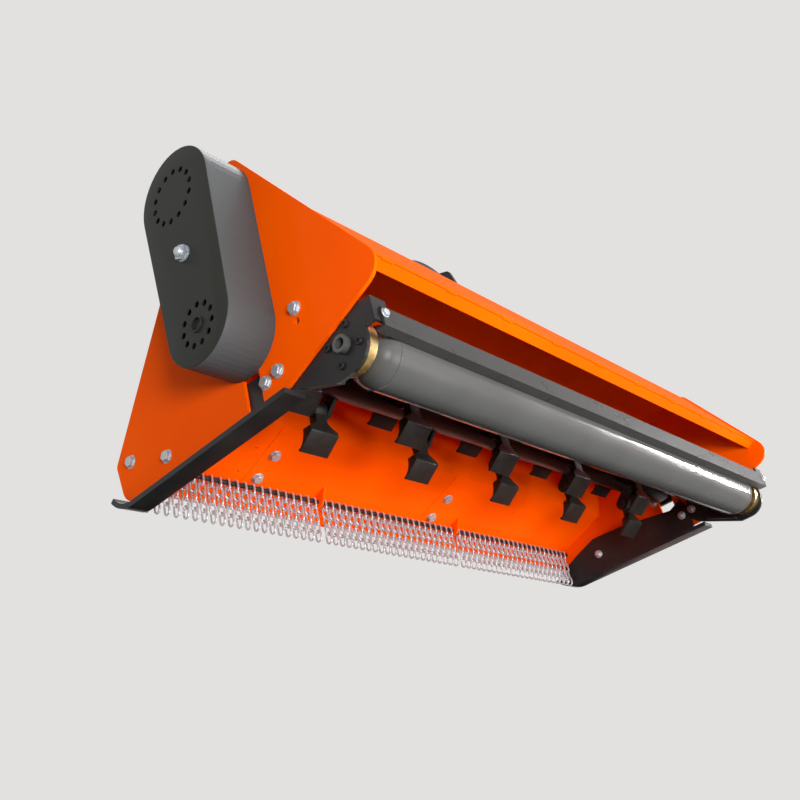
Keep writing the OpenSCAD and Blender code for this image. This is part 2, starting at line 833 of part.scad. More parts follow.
// Fold of a hammer from its radial line: plumb below the rotor, against the tube above it, with
// its edge to the tube behind the rotor and its heel to the tube in front
tube_rest = tube_r + fit_gap;
function fold_of(p) = 180 - atan2(abs(p[0]), -p[1])
    - acos((pin_orbit * pin_orbit + p * p - tube_rest * tube_rest) / (2 * pin_orbit * norm(p)));
edge_fold = min([for (p = concat(scoop, edge_corners)) fold_of(p)]);
heel_fold = min([for (p = heel_corners) fold_of(p)]);
function hang_angle(i) = row_angle(i) > 0 ? max(row_angle(i) - heel_fold, 0)
    : min(row_angle(i) + edge_fold, 0);

module hammer(i) {
    color("black") hang(rotor_axis) at_pin(i) rotate([hang_angle(i), 0, 0]) difference() {
        intersection() {
            profile(-hammer_w / 2, hammer_w) hammer_side_profile();
            translate([0, foot_half + over, 0]) rotate([90, 0, 0])
                linear_extrude(2 * (foot_half + over)) hammer_front_outline();
        }
        bar(-hammer_w, [0, 0], 2 * hammer_w, pin_r + run_gap);
    }
}

// Rotor bearings: square flanges with a round hub outside the side plates
rotor_flange_t = 12;
hub_r = 44;

module rotor_bearing(bore_end) {
    difference() {
        union() {
            translate([half_w, -rotor_bearing_half, rotor_z - rotor_bearing_half])
                cube([rotor_flange_t, 2 * rotor_bearing_half, 2 * rotor_bearing_half]);
            bar(half_w, rotor_axis, rotor_bearing_t, hub_r);
        }
        bar(0, rotor_axis, bore_end, shaft_r + run_gap);
        for (p = rotor_bolts) bar(0, p, right_end, bolt_r + fit_gap);
    }
}

// The left bearing lets the shaft through to the pulley; the right one is capped
module rotor_bearings() {
    color("slategray") stand() {
        on_side(-1) rotor_bearing(right_end + over);
        rotor_bearing(right_end - cap_t);
    }
}

// Belt drive: grooved pulleys, belts, and the guard over them
belt_pitch = 17;
pulley_rim = 3;
pulley_gap = 4;
pulley_w = belt_count * belt_pitch + 2 * pulley_rim;
pulley_x = -half_w - rotor_bearing_t - pulley_gap - pulley_w;
belt_gap = 0.5;
belt_proud = 2;
groove_h = belt_h + belt_gap - belt_proud;
function belt_x(i) = pulley_x + pulley_rim + (i + 0.5) * belt_pitch;

module pulley(axis, r, bore) {
    difference() {
        bar(pulley_x, axis, pulley_w, r);
        bar(pulley_x - over, axis, pulley_w + 2 * over, bore);
        for (i = [0:belt_count - 1]) difference() {
            bar(belt_x(i) - belt_w / 2 - belt_gap, axis, belt_w + 2 * belt_gap, r + over);
            bar(belt_x(i) - belt_w / 2 - over, axis, belt_w + 2 * over, r - groove_h);
        }
    }
}

module lower_pulley() {
    color("dimgray") stand() pulley(rotor_axis, lower_pulley_r, shaft_r + run_gap);
}

module upper_pulley() {
    color("dimgray") stand() pulley(cross_axis, upper_pulley_r, cross_shaft_r + run_gap);
}

module v_belts() {
    upper = upper_pulley_r - groove_h + belt_gap;
    lower = lower_pulley_r - groove_h + belt_gap;
    color("black") stand() for (i = [0:belt_count - 1])
        profile(belt_x(i) - belt_w / 2, belt_w) difference() {
            polygon(loop_outline(cross_axis, upper + belt_h, rotor_axis, lower + belt_h));
            polygon(loop_outline(cross_axis, upper, rotor_axis, lower));
        }
}

guard_upper = [18, 548];
guard_lower = [0, 200];

module guard_outline(shrink) {
    polygon(loop_outline(guard_upper, guard_upper_r - shrink, guard_lower, guard_lower_r - shrink));
}

module guard_band() {
    color("gray") stand() profile(-half_w - guard_depth + guard_face_t, guard_depth - guard_face_t)
        difference() {
            guard_outline(0);
            guard_outline(guard_t);
        }
}

upper_vents = 14;
lower_vents = 11;
upper_vent_ring = 62;
lower_vent_ring = 45;
vent_r = 7;
boss_r = 17;
boss_h = 4;
guard_nut_at = [10, 377];
stud_r = 6;
guard_nut_r = 18;
washer_t = 3;
guard_nut_h = 9;

module guard_face() {
    face_x = -half_w - guard_depth;
    color("darkslategray") stand() difference() {
        union() {
            profile(face_x, guard_t) guard_outline(0);
            profile(face_x, guard_face_t) difference() {
                guard_outline(0);
                guard_outline(guard_t);
            }
            bar(face_x - boss_h, rotor_axis, boss_h + guard_t, boss_r);
        }
        for (i = [0:upper_vents - 1])
            bar(face_x - over, cross_axis + upper_vent_ring * along(360 * i / upper_vents),
                guard_t + 2 * over, vent_r);
        for (i = [0:lower_vents - 1])
            bar(face_x - over, rotor_axis + lower_vent_ring * along(360 * i / lower_vents),
                guard_t + 2 * over, vent_r);
        bar(face_x - over, guard_nut_at, guard_t + 2 * over, stud_r + fit_gap);
    }
}

module guard_nut() {
    face_x = -half_w - guard_depth;
    color("silver") stand() {
        bar(face_x - washer_t - guard_nut_h, guard_nut_at, guard_depth + washer_t + guard_nut_h, stud_r);
        bar(face_x - washer_t, guard_nut_at, washer_t, guard_nut_r);
        translate([face_x - washer_t - guard_nut_h, guard_nut_at[0], guard_nut_at[1]]) rotate([0, 90, 0])
            cylinder(h = guard_nut_h, r = guard_nut_r, $fn = 6);
        turned(guard_nut_at) translate([0, face_x - washer_t - guard_nut_h]) mirror([0, 1]) intersection() {
            circle(r = nut_stack - washer_t - guard_nut_h);
            square(guard_nut_r);
        }
    }
}

// Gearbox: a round drum on the input axis with a neck to the cross tube, on a stand on the roof
drum_front = 60;
drum_rear = 35;
cover_r = 80;
cover_t = 25;
cap_r = 170;
cap_half = 84;
cap_rise = 118;
cap_deep = 70;
cap_rear = 61;
cap_front = 40;
neck_r = 58;
neck_len = 110;
output_neck = 150;
output_neck_r = 55;
input_y = cross_y + neck_len;

module gearbox_housing() {
    color("black") stand() difference() {
        union() {
            translate([hitch_x, cross_y, cross_z]) rotate([-90, 0, 0]) rotate_extrude() polygon([
                [0, -drum_rear - cover_t], [cover_r, -drum_rear - cover_t], [cover_r, -drum_rear],
                [gearbox_r, -drum_rear], [gearbox_r, drum_front], [neck_r, neck_len], [0, neck_len]
            ]);
            bar(hitch_x - output_neck, cross_axis, output_neck, output_neck_r);
            translate([hitch_x - stand_half, cross_y - drum_rear, stand_z])
                cube([2 * stand_half, drum_rear + drum_front, cross_z - stand_z]);
            translate([hitch_x, cross_y + cap_front, cross_z + cap_rise - cap_r]) rotate([90, 0, 0])
                linear_extrude(cap_front + cap_rear) intersection() {
                    circle(r = cap_r);
                    translate([-cap_half, cap_r - cap_deep]) square([2 * cap_half, cap_deep]);
                }
        }
        bar(hitch_x - output_neck - over, cross_axis, output_neck + over, cross_shaft_r + run_gap);
        translate([hitch_x, cross_y + drum_front, cross_z]) rotate([-90, 0, 0])
            cylinder(h = neck_len, r = input_r + input_collar + run_gap);
    }
}
stand_half = 70;
roof_top = roof_z + sheet_t;
stand_z = roof_top + mast_t;
input_collar = 3;

module gearbox_plate() {
    color("black") stand() translate([hitch_x - mast_gap / 2, plate_rear, roof_top])
        cube([mast_gap, plate_front - plate_rear, mast_t]);
}
plate_rear = -60;
plate_front = 110;

module cross_tube() {
    tube_left = -inner_w;
    tube_len = hitch_x - output_neck - tube_left;
    color("black") stand() difference() {
        union() {
            bar(tube_left, cross_axis, tube_len, cross_tube_r);
            for (x = [tube_left, tube_left + tube_len - mast_t]) bar(x, cross_axis, mast_t, tube_flange_r);
        }
        bar(tube_left - over, cross_axis, tube_len + 2 * over, cross_shaft_r + run_gap);
        bar(tube_left + 2 * mast_t, cross_axis, tube_len - 4 * mast_t, cross_tube_r - tube_flange_wall);
    }
}
tube_flange_r = 70;
tube_flange_wall = 6;

module cross_shaft() {
    shaft_start = pulley_x - shaft_past;
    color("silver") stand()
        bar(shaft_start, cross_axis, hitch_x - blind_end - shaft_start, cross_shaft_r);
}
shaft_past = 6;
blind_end = 10;

// Six-spline input shaft, 1 3/8 inch form, with its plain collar in the gearbox neck
spline_count = 6;
spline_w = 8.6;
spline_root_r = 14.5;

module input_shaft() {
    shaft_y = cross_y + drum_front + blind_gap;
    color("silver") stand() translate([hitch_x, shaft_y, cross_z]) rotate([-90, 0, 0]) {
        cylinder(h = neck_len - drum_front - blind_gap, r = input_r + input_collar);
        linear_extrude(neck_len - drum_front + input_len) {
            circle(r = spline_root_r);
            for (i = [0:spline_count - 1]) rotate(360 * i / spline_count) intersection() {
                translate([0, -spline_w / 2]) square([input_r, spline_w]);
                circle(r = input_r);
            }
        }
    }
}
blind_gap = 1;

// Hitch: two mast plates that carry the top link ears, and two clevises on the apron
mast_foot_rear = -130;
mast_foot_front = 112;
mast_top_back = 75;
mast_top_rise = 28;
mast_tip_back = 40;
mast_tip_drop = 15;
mast_rear_z = 692;
mast_left_drop = 44;
mast_bend_drop = 72;
function mast_corners(rear_z) = [
    [mast_foot_rear, roof_top, 0],
    [-50, rear_z - mast_bend_drop, 40],
    [-32, rear_z, 14],
    [top_pin_y - mast_top_back, top_pin_z + mast_top_rise, 25],
    [top_pin_y - mast_tip_back, top_pin_z - mast_tip_drop, 20],
    [132, 560, 60],
    [mast_foot_front, roof_top, 0]
];

module mast_plate(x, rear_z) {
    profile(hitch_x + x, mast_t) polygon(rounded(mast_corners(rear_z)));
}

// The left plate lets the gearbox neck through
module left_mast_plate() {
    color("black") stand() difference() {
        mast_plate(-mast_gap / 2 - mast_t, mast_rear_z - mast_left_drop);
        bar(hitch_x - output_neck, cross_axis, output_neck, output_neck_r + fit_gap);
    }
}

module right_mast_plate() {
    color("black") stand() mast_plate(mast_gap / 2, mast_rear_z);
}

top_axis = [top_pin_y, top_pin_z];
top_eye_r = 26;
top_bar_r = 18;
top_bar_axis = [top_pin_y - mast_top_back, top_pin_z - mast_t / 2];

module top_link_bracket() {
    color("black") stand() {
        bar(hitch_x - mast_gap / 2, top_bar_axis, mast_gap, top_bar_r);
        for (x = [-top_gap / 2 - mast_t, top_gap / 2])
            profile(hitch_x + x, mast_t) difference() {
                union() {
                    translate(top_axis) circle(r = top_eye_r);
                    polygon(loop_outline(top_axis, top_eye_r, top_bar_axis, top_bar_r + mast_t));
                }
                translate(top_axis) circle(r = top_bore_r);
            }
    }
}

foot_half_w = 55;
foot_from = 290;
foot_to = 440;

module lower_hitch(side) {
    x = hitch_x + side * lower_span / 2;
    foot_top = [for (y = [foot_from, foot_to]) [y, apron_z(y)] + (sheet_t + mast_t) * apron_up];
    foot_low = [for (y = [foot_from, foot_to]) [y, apron_z(y)] + sheet_t * apron_up];
    color("black") stand() difference() {
        union() {
            profile(x - foot_half_w, 2 * foot_half_w)
                polygon([foot_low[0], foot_low[1], foot_top[1], foot_top[0]]);
            for (inner = [x - lower_gap / 2 - mast_t, x + lower_gap / 2])
                profile(inner, mast_t) difference() {
                    union() {
                        translate(lower_axis) circle(r = lower_eye_r);
                        polygon([foot_low[0], foot_low[1], lower_axis + lower_eye_r * along(-40),
                            lower_axis + lower_eye_r * along(130)]);
                    }
                    translate(lower_axis) circle(r = lower_bore_r);
                }
        }
        for (y = apron_bolt_ys)
            at_apron(x, y) cylinder(h = sheet_t + mast_t + over, r = bolt_r + fit_gap);
    }
}
apron_up = -right_of(along(apron_angle));

module left_lower_hitch() {
    lower_hitch(-1);
}

module right_lower_hitch() {
    lower_hitch(1);
}

fixed_nodes = ["left_side_plate", "right_side_plate", "front_sheet", "roof_sheet", "rear_sheet",
    "rear_rail", "left_skid", "right_skid", "body_bolts", "roller", "roller_bearings",
    "left_roller_bracket", "right_roller_bracket", "scraper", "chain_rod", "rod_gussets", "chain_left",
    "chain_middle", "chain_right", "rotor", "rotor_lugs", "hammer_bolts", "rotor_bearings", "lower_pulley",
    "upper_pulley", "v_belts", "guard_band", "guard_face", "guard_nut", "gearbox_housing",
    "gearbox_plate", "cross_tube", "cross_shaft", "input_shaft", "left_mast_plate", "right_mast_plate",
    "top_link_bracket", "left_lower_hitch", "right_lower_hitch"];
function hammer_node(i) = str("hammer_", i < 9 ? "0" : "", i + 1);

left_side_plate();
right_side_plate();
front_sheet();
roof_sheet();
rear_sheet();
rear_rail();
left_skid();
right_skid();
body_bolts();
roller();
roller_bearings();
left_roller_bracket();
right_roller_bracket();
scraper();
chain_rod();
rod_gussets();
chain_left();
chain_middle();
chain_right();
rotor();
rotor_lugs();
hammer_bolts();
rotor_bearings();
lower_pulley();
upper_pulley();
v_belts();
guard_band();
guard_face();
guard_nut();
gearbox_housing();
gearbox_plate();
cross_tube();
cross_shaft();
input_shaft();
left_mast_plate();
right_mast_plate();
top_link_bracket();
left_lower_hitch();
right_lower_hitch();
for (i = [0:hammer_count - 1])
    hammer(i);
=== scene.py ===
import json
import math

import bmesh
import bpy
from mathutils import Matrix, Vector


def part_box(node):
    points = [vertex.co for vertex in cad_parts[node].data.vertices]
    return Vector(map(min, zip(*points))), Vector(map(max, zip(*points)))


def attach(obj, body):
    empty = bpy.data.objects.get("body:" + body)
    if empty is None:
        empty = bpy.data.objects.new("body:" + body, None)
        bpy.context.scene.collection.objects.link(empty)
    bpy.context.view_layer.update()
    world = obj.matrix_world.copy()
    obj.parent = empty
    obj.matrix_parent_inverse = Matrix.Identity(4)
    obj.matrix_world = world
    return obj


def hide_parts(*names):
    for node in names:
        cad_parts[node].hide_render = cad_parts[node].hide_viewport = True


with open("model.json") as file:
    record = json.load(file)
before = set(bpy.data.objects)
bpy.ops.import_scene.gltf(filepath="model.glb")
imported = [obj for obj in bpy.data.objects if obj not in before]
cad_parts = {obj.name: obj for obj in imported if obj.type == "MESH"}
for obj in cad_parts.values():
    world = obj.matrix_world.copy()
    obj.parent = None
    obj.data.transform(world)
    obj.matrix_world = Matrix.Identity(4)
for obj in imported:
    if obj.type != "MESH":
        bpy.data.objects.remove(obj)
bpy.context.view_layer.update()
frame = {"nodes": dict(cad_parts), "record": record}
cad_nodes = frame["nodes"]
bpy.ops.object.select_all(action="DESELECT")

# Studio: a plain pale floor that runs out into the backdrop's colour, soft lamps round it, and the
# camera at the photograph's viewpoint, low on the left behind the machine. The floor shows its
# upper side only, so that a camera or a lamp below it still sees the machine.


def linear(hex_code):
    channels = [int(hex_code[i:i + 2], 16) / 255 for i in (1, 3, 5)]
    return [c / 12.92 if c <= 0.04045 else ((c + 0.055) / 1.055) ** 2.4 for c in channels] + [1.0]


def add_node(tree, kind, settings=None, links=None):
    made = tree.nodes.new(kind)
    for name, value in (settings or {}).items():
        if isinstance(name, int) or name in made.inputs:
            made.inputs[name].default_value = value
        else:
            setattr(made, name, value)
    for name, source in (links or {}).items():
        tree.links.new(source, made.inputs[name])
    return made


def new_tree(name):
    material = bpy.data.materials.new(name)
    material.use_nodes = True
    material.node_tree.nodes.clear()
    return material, material.node_tree


def shown_rays(tree):
    ray = add_node(tree, "ShaderNodeLightPath")
    seen = add_node(tree, "ShaderNodeMath", {"operation": "MAXIMUM"},
                    {0: ray.outputs["Is Camera Ray"], 1: ray.outputs["Is Glossy Ray"]})
    shown = add_node(tree, "ShaderNodeMath", {"operation": "MAXIMUM"},
                     {0: seen.outputs[0], 1: ray.outputs["Is Transmission Ray"]})
    return shown.outputs[0]


floor_size = 40.0
floor_colour = "#E4E3E0"
backdrop_colour = "#E2E1DF"
sweep_from = 1.3
sweep_to = 3.4
floor_material, tree = new_tree("pale_studio_floor")
floor_paint = add_node(tree, "ShaderNodeBsdfDiffuse", {"Color": linear(floor_colour)})
floor_far = add_node(tree, "ShaderNodeEmission",
                     {"Color": linear(backdrop_colour), "Strength": 1.0})
floor_place = add_node(tree, "ShaderNodeTexCoord")
floor_reach = add_node(tree, "ShaderNodeVectorMath", {"operation": "LENGTH"},
                       {0: floor_place.outputs["Object"]})
sweep = add_node(tree, "ShaderNodeMapRange",
                 {"interpolation_type": "SMOOTHSTEP", "From Min": sweep_from, "From Max": sweep_to},
                 {"Value": floor_reach.outputs["Value"]})
sweep_shown = add_node(tree, "ShaderNodeMath", {"operation": "MULTIPLY"},
                       {0: sweep.outputs[0], 1: shown_rays(tree)})
floor_look = add_node(tree, "ShaderNodeMixShader", None,
                      {0: sweep_shown.outputs[0], 1: floor_paint.outputs[0],
                       2: floor_far.outputs[0]})
see_through = add_node(tree, "ShaderNodeBsdfTransparent")
floor_side = add_node(tree, "ShaderNodeNewGeometry")
floor_ray = add_node(tree, "ShaderNodeLightPath")
hidden = add_node(tree, "ShaderNodeMath", {"operation": "MAXIMUM"},
                  {0: floor_side.outputs["Backfacing"], 1: floor_ray.outputs["Is Shadow Ray"]})
floor_mix = add_node(tree, "ShaderNodeMixShader", None,
                     {0: hidden.outputs[0], 1: floor_look.outputs[0], 2: see_through.outputs[0]})
add_node(tree, "ShaderNodeOutputMaterial", None, {"Surface": floor_mix.outputs[0]})
bpy.ops.mesh.primitive_plane_add(size=floor_size)
floor = bpy.context.object
floor.name = "studio_floor"
floor.data.materials.append(floor_material)

room_colour = "#F4F4F6"
room_light = 0.28
world = bpy.data.worlds.new("pale_studio")
bpy.context.scene.world = world
world.use_nodes = True
tree = world.node_tree
tree.nodes.clear()
room = add_node(tree, "ShaderNodeBackground",
                {"Color": linear(room_colour), "Strength": room_light})
backdrop = add_node(tree, "ShaderNodeBackground",
                    {"Color": linear(backdrop_colour), "Strength": 1.0})
room_mix = add_node(tree, "ShaderNodeMixShader", None,
                    {0: shown_rays(tree), 1: room.outputs[0], 2: backdrop.outputs[0]})
add_node(tree, "ShaderNodeOutputWorld", None, {"Surface": room_mix.outputs[0]})

# Each softbox: name, place, target, the way its width runs, width, height, watts, spread.
softboxes = [
    ("low_softbox", (0.75, -4.60, -2.00), (0.1, 0.1, 0.15), (1, 0, 0), 4.0, 2.0, 410, 180),
    ("side_softbox", (-2.50, -2.80, -0.75), (-0.4, 0.0, 0.30), (1, 0, 0), 1.1, 0.9, 112, 180),
    ("strip_softbox", (2.95, -1.74, 0.60), (0.35, -0.39, 0.05), (1.22, 0.22, -0.66),
     1.5, 0.10, 9, 70),
    ("top_softbox", (0.60, -0.20, 4.20), (0.0, 0.0, 0.40), (1, 0, 0), 2.0, 2.0, 95, 180),
    ("front_softbox", (2.20, 3.60, 2.20), (0.0, 0.0, 0.40), (1, 0, 0), 2.8, 2.8, 85, 180),
]
for name, place, target, along, width, height, watts, spread in softboxes:
    lamp = bpy.data.lights.new(name, "AREA")
    lamp.shape = "RECTANGLE"
    lamp.size = width
    lamp.size_y = height
    lamp.energy = watts
    lamp.spread = math.radians(spread)
    holder = bpy.data.objects.new(name, lamp)
    back = (Vector(place) - Vector(target)).normalized()
    top = back.cross(Vector(along)).normalized()
    turn = Matrix((top.cross(back), top, back)).transposed()
    holder.matrix_world = Matrix.Translation(place) @ turn.to_4x4()
    bpy.context.collection.objects.link(holder)

camera_place = Vector((-1.9914, -1.3093, -0.8490))
camera_sight = Vector((0.70772, 0.53848, 0.45734)).normalized()
camera_up = Vector((-0.23166, -0.43468, 0.87028)).normalized()
camera_lens_mm = 42.94
camera_film_mm = 36.0
camera_data = bpy.data.cameras.new("photo_camera")
camera_data.lens = camera_lens_mm
camera_data.sensor_width = camera_film_mm
camera = bpy.data.objects.new("photo_camera", camera_data)
camera_right = camera_sight.cross(camera_up).normalized()
camera_turn = Matrix((camera_right, camera_right.cross(camera_sight), -camera_sight)).transposed()
camera.matrix_world = Matrix.Translation(camera_place) @ camera_turn.to_4x4()
bpy.context.collection.objects.link(camera)
bpy.context.scene.camera = camera
bpy.context.scene.view_settings.view_transform = "Standard"

# Hood and side plates: folded and laser-cut mild steel, welded together and powder coated in
# orange. Powder coat flows out with a slight orange peel and varies a little in depth. The real
# peel, of about 2 mm, is too fine to show, so it is drawn coarser.


def dress(names, material):
    for name in names:
        for slot in cad_nodes[name].material_slots:
            slot.material = material


peel_mm = 7.0
cloud_mm = 260.0
orange_coat, tree = new_tree("orange_powder_coat")
where = add_node(tree, "ShaderNodeTexCoord")
peel = add_node(tree, "ShaderNodeTexNoise", {"Scale": 1000 / peel_mm, "Detail": 2.0},
                {"Vector": where.outputs["Object"]})
clouds = add_node(tree, "ShaderNodeTexNoise", {"Scale": 1000 / cloud_mm, "Detail": 3.0},
                  {"Vector": where.outputs["Object"]})
# A Mix node of colours takes them at inputs 6 and 7 and gives the mixed colour at output 2.
coat_depth = add_node(tree, "ShaderNodeMix",
                      {"data_type": "RGBA", 6: linear("#F24E00"), 7: linear("#FC6001")},
                      {0: clouds.outputs["Fac"]})
gloss = add_node(tree, "ShaderNodeMapRange", {"To Min": 0.30, "To Max": 0.46},
                 {"Value": clouds.outputs["Fac"]})
peel_bump = add_node(tree, "ShaderNodeBump", {"Strength": 0.10, "Distance": 0.0006},
                     {"Height": peel.outputs["Fac"]})
coat = add_node(tree, "ShaderNodeBsdfPrincipled",
                {"IOR": 1.5, "Specular IOR Level": 0.0, "Coat Weight": 0.08,
                 "Coat Roughness": 0.14},
                {"Base Color": coat_depth.outputs[2], "Roughness": gloss.outputs[0],
                 "Normal": peel_bump.outputs[0]})
add_node(tree, "ShaderNodeOutputMaterial", None, {"Surface": coat.outputs[0]})
dress(["left_side_plate", "right_side_plate", "front_sheet", "roof_sheet", "rear_sheet",
       "rear_rail", "rod_gussets"], orange_coat)

# Hood seams: the sheets are welded to the side plates and to each other by hand, in beads of
# overlapping ripples, and the bar inside the rear edge is only stitched, so its joint stays open;
# the shade inside that open joint is painted as a thin dark strip. Everything is coated over after
# welding.

# Places are given in millimetres on the machine: to the right, forward of the rotor, and up.
plate_half_mm = 892.0
rotor_height_mm = 191.0
hitch_mm = -204.0
joint_rows = {joint["name"]: joint for joint in frame["record"]["behaviour"]["joints"]}
rotor_point = Vector(joint_rows["rotor_spin"]["pos_m"])
forward = Vector(joint_rows["input_spin"]["axis"])
upward = Vector((1, 0, 0)).cross(forward)
body_middle = joint_rows["input_spin"]["pos_m"][0] - hitch_mm / 1000


def spot(x, y, z):
    offset = forward * (y / 1000) + upward * ((z - rotor_height_mm) / 1000)
    return Vector((body_middle + x / 1000, rotor_point.y, rotor_point.z)) + offset


ripple_pitch = 0.62
ripple_shape = (0.62, 0.5, 0.4, 1.0)


def weld_bead(start, end, away, width_mm):
    run = end - start
    step = ripple_pitch * width_mm / 1000
    count = max(2, round(run.length / step))
    lengthwise = run.normalized()
    sideways = away.cross(lengthwise).normalized()
    bpy.ops.mesh.primitive_uv_sphere_add(segments=6, ring_count=4, radius=width_mm / 1000)
    ripple = bpy.context.object
    turn = Matrix((lengthwise, sideways, lengthwise.cross(sideways))).transposed()
    flatten = Matrix.Diagonal(ripple_shape)
    ripple.matrix_world = Matrix.Translation(start) @ turn.to_4x4() @ flatten
    bpy.ops.object.transform_apply(location=True, rotation=True, scale=True)
    row = ripple.modifiers.new("ripples", "ARRAY")
    row.use_relative_offset = False
    row.use_constant_offset = True
    row.constant_offset_displace = run / (count - 1)
    row.count = count
    bpy.ops.object.modifier_apply(modifier="ripples")
    return ripple


def plate_weld(x, ends_mm, away, width_mm):
    start, end = (spot(x, y, z) for y, z in ends_mm)
    return weld_bead(start, end, away, width_mm)


def merged(parts):
    bpy.ops.object.select_all(action="DESELECT")
    for part in parts:
        part.select_set(True)
    bpy.context.view_layer.objects.active = parts[0]
    if len(parts) > 1:
        bpy.ops.object.join()
    return bpy.context.object


smooth_angle = math.radians(35)


def joined(parts, name, material, body):
    piece = merged(parts)
    piece.name = name
    piece.data.materials.clear()
    piece.data.materials.append(material)
    bpy.ops.object.shade_smooth_by_angle(angle=smooth_angle)
    bpy.ops.object.select_all(action="DESELECT")
    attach(piece, body)
    return piece


seam_w_mm = 7.0
seam_inset_mm = 0.8
inner_line_mm = [(455, 126), (248, 198), (205, 335), (120, 415), (-202, 415), (-347, 187)]
inner_reach_mm = 900
inner_drop = 0.4
outer_runs_mm = [((252, 205), (210, 338)), ((210, 338), (122, 420.5)),
                 ((122, 420.5), (-196, 420.5)), ((252, 205), (440, 138))]
outer_lean = (0.3, 0.8)
beads = []
for side in (-1, 1):
    x = side * (plate_half_mm - seam_inset_mm)
    for run_mm in zip(inner_line_mm, inner_line_mm[1:]):
        lean = forward * (run_mm[0][0] + run_mm[1][0]) / inner_reach_mm
        inward = Vector((-side, 0, 0)) - lean - upward * inner_drop
        beads.append(plate_weld(x, run_mm, inward, seam_w_mm))
    for run_mm in outer_runs_mm:
        beads.append(plate_weld(x, run_mm, Vector((-side, *outer_lean)), seam_w_mm))
roof_seam_mm = (209.4, 337.7)
roof_seam_w_mm = 6.0
beads.append(weld_bead(spot(-plate_half_mm, *roof_seam_mm), spot(plate_half_mm, *roof_seam_mm),
                       forward + upward, roof_seam_w_mm))
apron_seams_mm = [-578.0, 96.0]
apron_run_mm = [(251, 196.4), (452, 126.4)]
apron_seam_w_mm = 3.6
apron_lean = 0.35
for x in apron_seams_mm:
    beads.append(plate_weld(x, apron_run_mm, -upward - forward * apron_lean, apron_seam_w_mm))
stitch_count = 9
stitch_from_mm = -845.0
stitch_pitch_mm = 195.0
stitch_mm = 26
stitch_w_mm = 6.5
stitch_line_mm = (-347.3, 186.6)
stitch_out = -upward * 0.84 - forward * 0.54
for i in range(stitch_count):
    x = stitch_from_mm + stitch_pitch_mm * i
    beads.append(weld_bead(spot(x, *stitch_line_mm), spot(x + stitch_mm, *stitch_line_mm),
                           stitch_out, stitch_w_mm))
joined(beads, "hood_weld_beads", orange_coat, "frame")

# Painted shadow: the shade inside the rail's open joint is painted as a thin strip of dark, mottled
# red-brown laid along the joint.
shadow_mottle_mm = 40.0
joint_shade, tree = new_tree("open_joint_shadow")
where = add_node(tree, "ShaderNodeTexCoord")
shadow_mottle = add_node(tree, "ShaderNodeTexNoise", {"Scale": 1000 / shadow_mottle_mm, "Detail": 3.0},
                {"Vector": where.outputs["Object"]})
shadow_tint = add_node(tree, "ShaderNodeMix",
                     {"data_type": "RGBA", 6: linear("#4A1500"), 7: linear("#8A2C00")},
                     {0: shadow_mottle.outputs["Fac"]})
crevice_shadow = add_node(tree, "ShaderNodeBsdfPrincipled", {"Roughness": 0.8, "Specular IOR Level": 0.1},
                   {"Base Color": shadow_tint.outputs[2]})
add_node(tree, "ShaderNodeOutputMaterial", None, {"Surface": crevice_shadow.outputs[0]})

# The painted shadow strip, 1.6 mm wide and 0.6 mm deep, lies along the rail's joint.
joint_line_mm = (-347.45, 186.85)
joint_wide = 0.0016
joint_deep = 0.0006
rail_slope = (0.8434, 0.5373)
bpy.ops.mesh.primitive_plane_add(size=1.0)
joint_shadow_strip = bpy.context.object
along_slope = forward * rail_slope[0] - upward * rail_slope[1]
off_slope = -(forward * rail_slope[1] + upward * rail_slope[0])
strip_turn = Matrix((Vector((1, 0, 0)), along_slope, off_slope)).transposed()
strip_size = Matrix.Diagonal((2 * plate_half_mm / 1000, joint_wide, 1.0, 1.0))
joint_shadow_strip.matrix_world = (Matrix.Translation(spot(0, *joint_line_mm)) @ strip_turn.to_4x4()
                            @ strip_size)
bpy.ops.object.transform_apply(location=True, rotation=True, scale=True)
thick = joint_shadow_strip.modifiers.new("depth", "SOLIDIFY")
thick.thickness = joint_deep
thick.offset = 1.0
bpy.ops.object.modifier_apply(modifier="depth")
joined([joint_shadow_strip], "rail_joint_painted_shadow", joint_shade, "frame")

# Skids, roller brackets, mast, hitch and rotor: plate and tube, shot blasted and painted satin
# black. The paint is thin, with a fine grain, drawn coarser than the real one to show, and a
# little dust dulls it in patches.

grain_mm = 5.0
dust_mm = 90.0
black_paint, tree = new_tree("satin_black_paint")
where = add_node(tree, "ShaderNodeTexCoord")
grain = add_node(tree, "ShaderNodeTexNoise", {"Scale": 1000 / grain_mm, "Detail": 3.0},
                 {"Vector": where.outputs["Object"]})
dust = add_node(tree, "ShaderNodeTexNoise",
                {"Scale": 1000 / dust_mm, "Detail": 5.0, "Roughness": 0.6},
                {"Vector": where.outputs["Object"]})
dusted = add_node(tree, "ShaderNodeMapRange", {"From Min": 0.45, "From Max": 0.75, "To Max": 0.8},
                  {"Value": dust.outputs["Fac"]})
tint = add_node(tree, "ShaderNodeMix",
                {"data_type": "RGBA", 6: linear("#1D1C1C"), 7: linear("#2B2A29")},
                {0: dusted.outputs[0]})
sheen = add_node(tree, "ShaderNodeMapRange", {"To Min": 0.34, "To Max": 0.55},
                 {"Value": dusted.outputs[0]})
grain_bump = add_node(tree, "ShaderNodeBump", {"Strength": 0.12, "Distance": 0.0006},
                      {"Height": grain.outputs["Fac"]})
paint = add_node(tree, "ShaderNodeBsdfPrincipled", {"IOR": 1.5, "Specular IOR Level": 0.3},
                 {"Base Color": tint.outputs[2], "Roughness": sheen.outputs[0],
                  "Normal": grain_bump.outputs[0]})
add_node(tree, "ShaderNodeOutputMaterial", None, {"Surface": paint.outputs[0]})
dress(["left_skid", "right_skid", "left_roller_bracket", "right_roller_bracket", "gearbox_plate",
       "cross_tube", "left_mast_plate", "right_mast_plate", "top_link_bracket", "left_lower_hitch",
       "right_lower_hitch", "chain_rod", "rotor", "rotor_lugs"], black_paint)

# Welds of the black frame pieces: runner to upright, foot and ear to roller bracket, mast plates
# to the roof plate, and clevis ears to their feet. They are laid by hand and painted over.

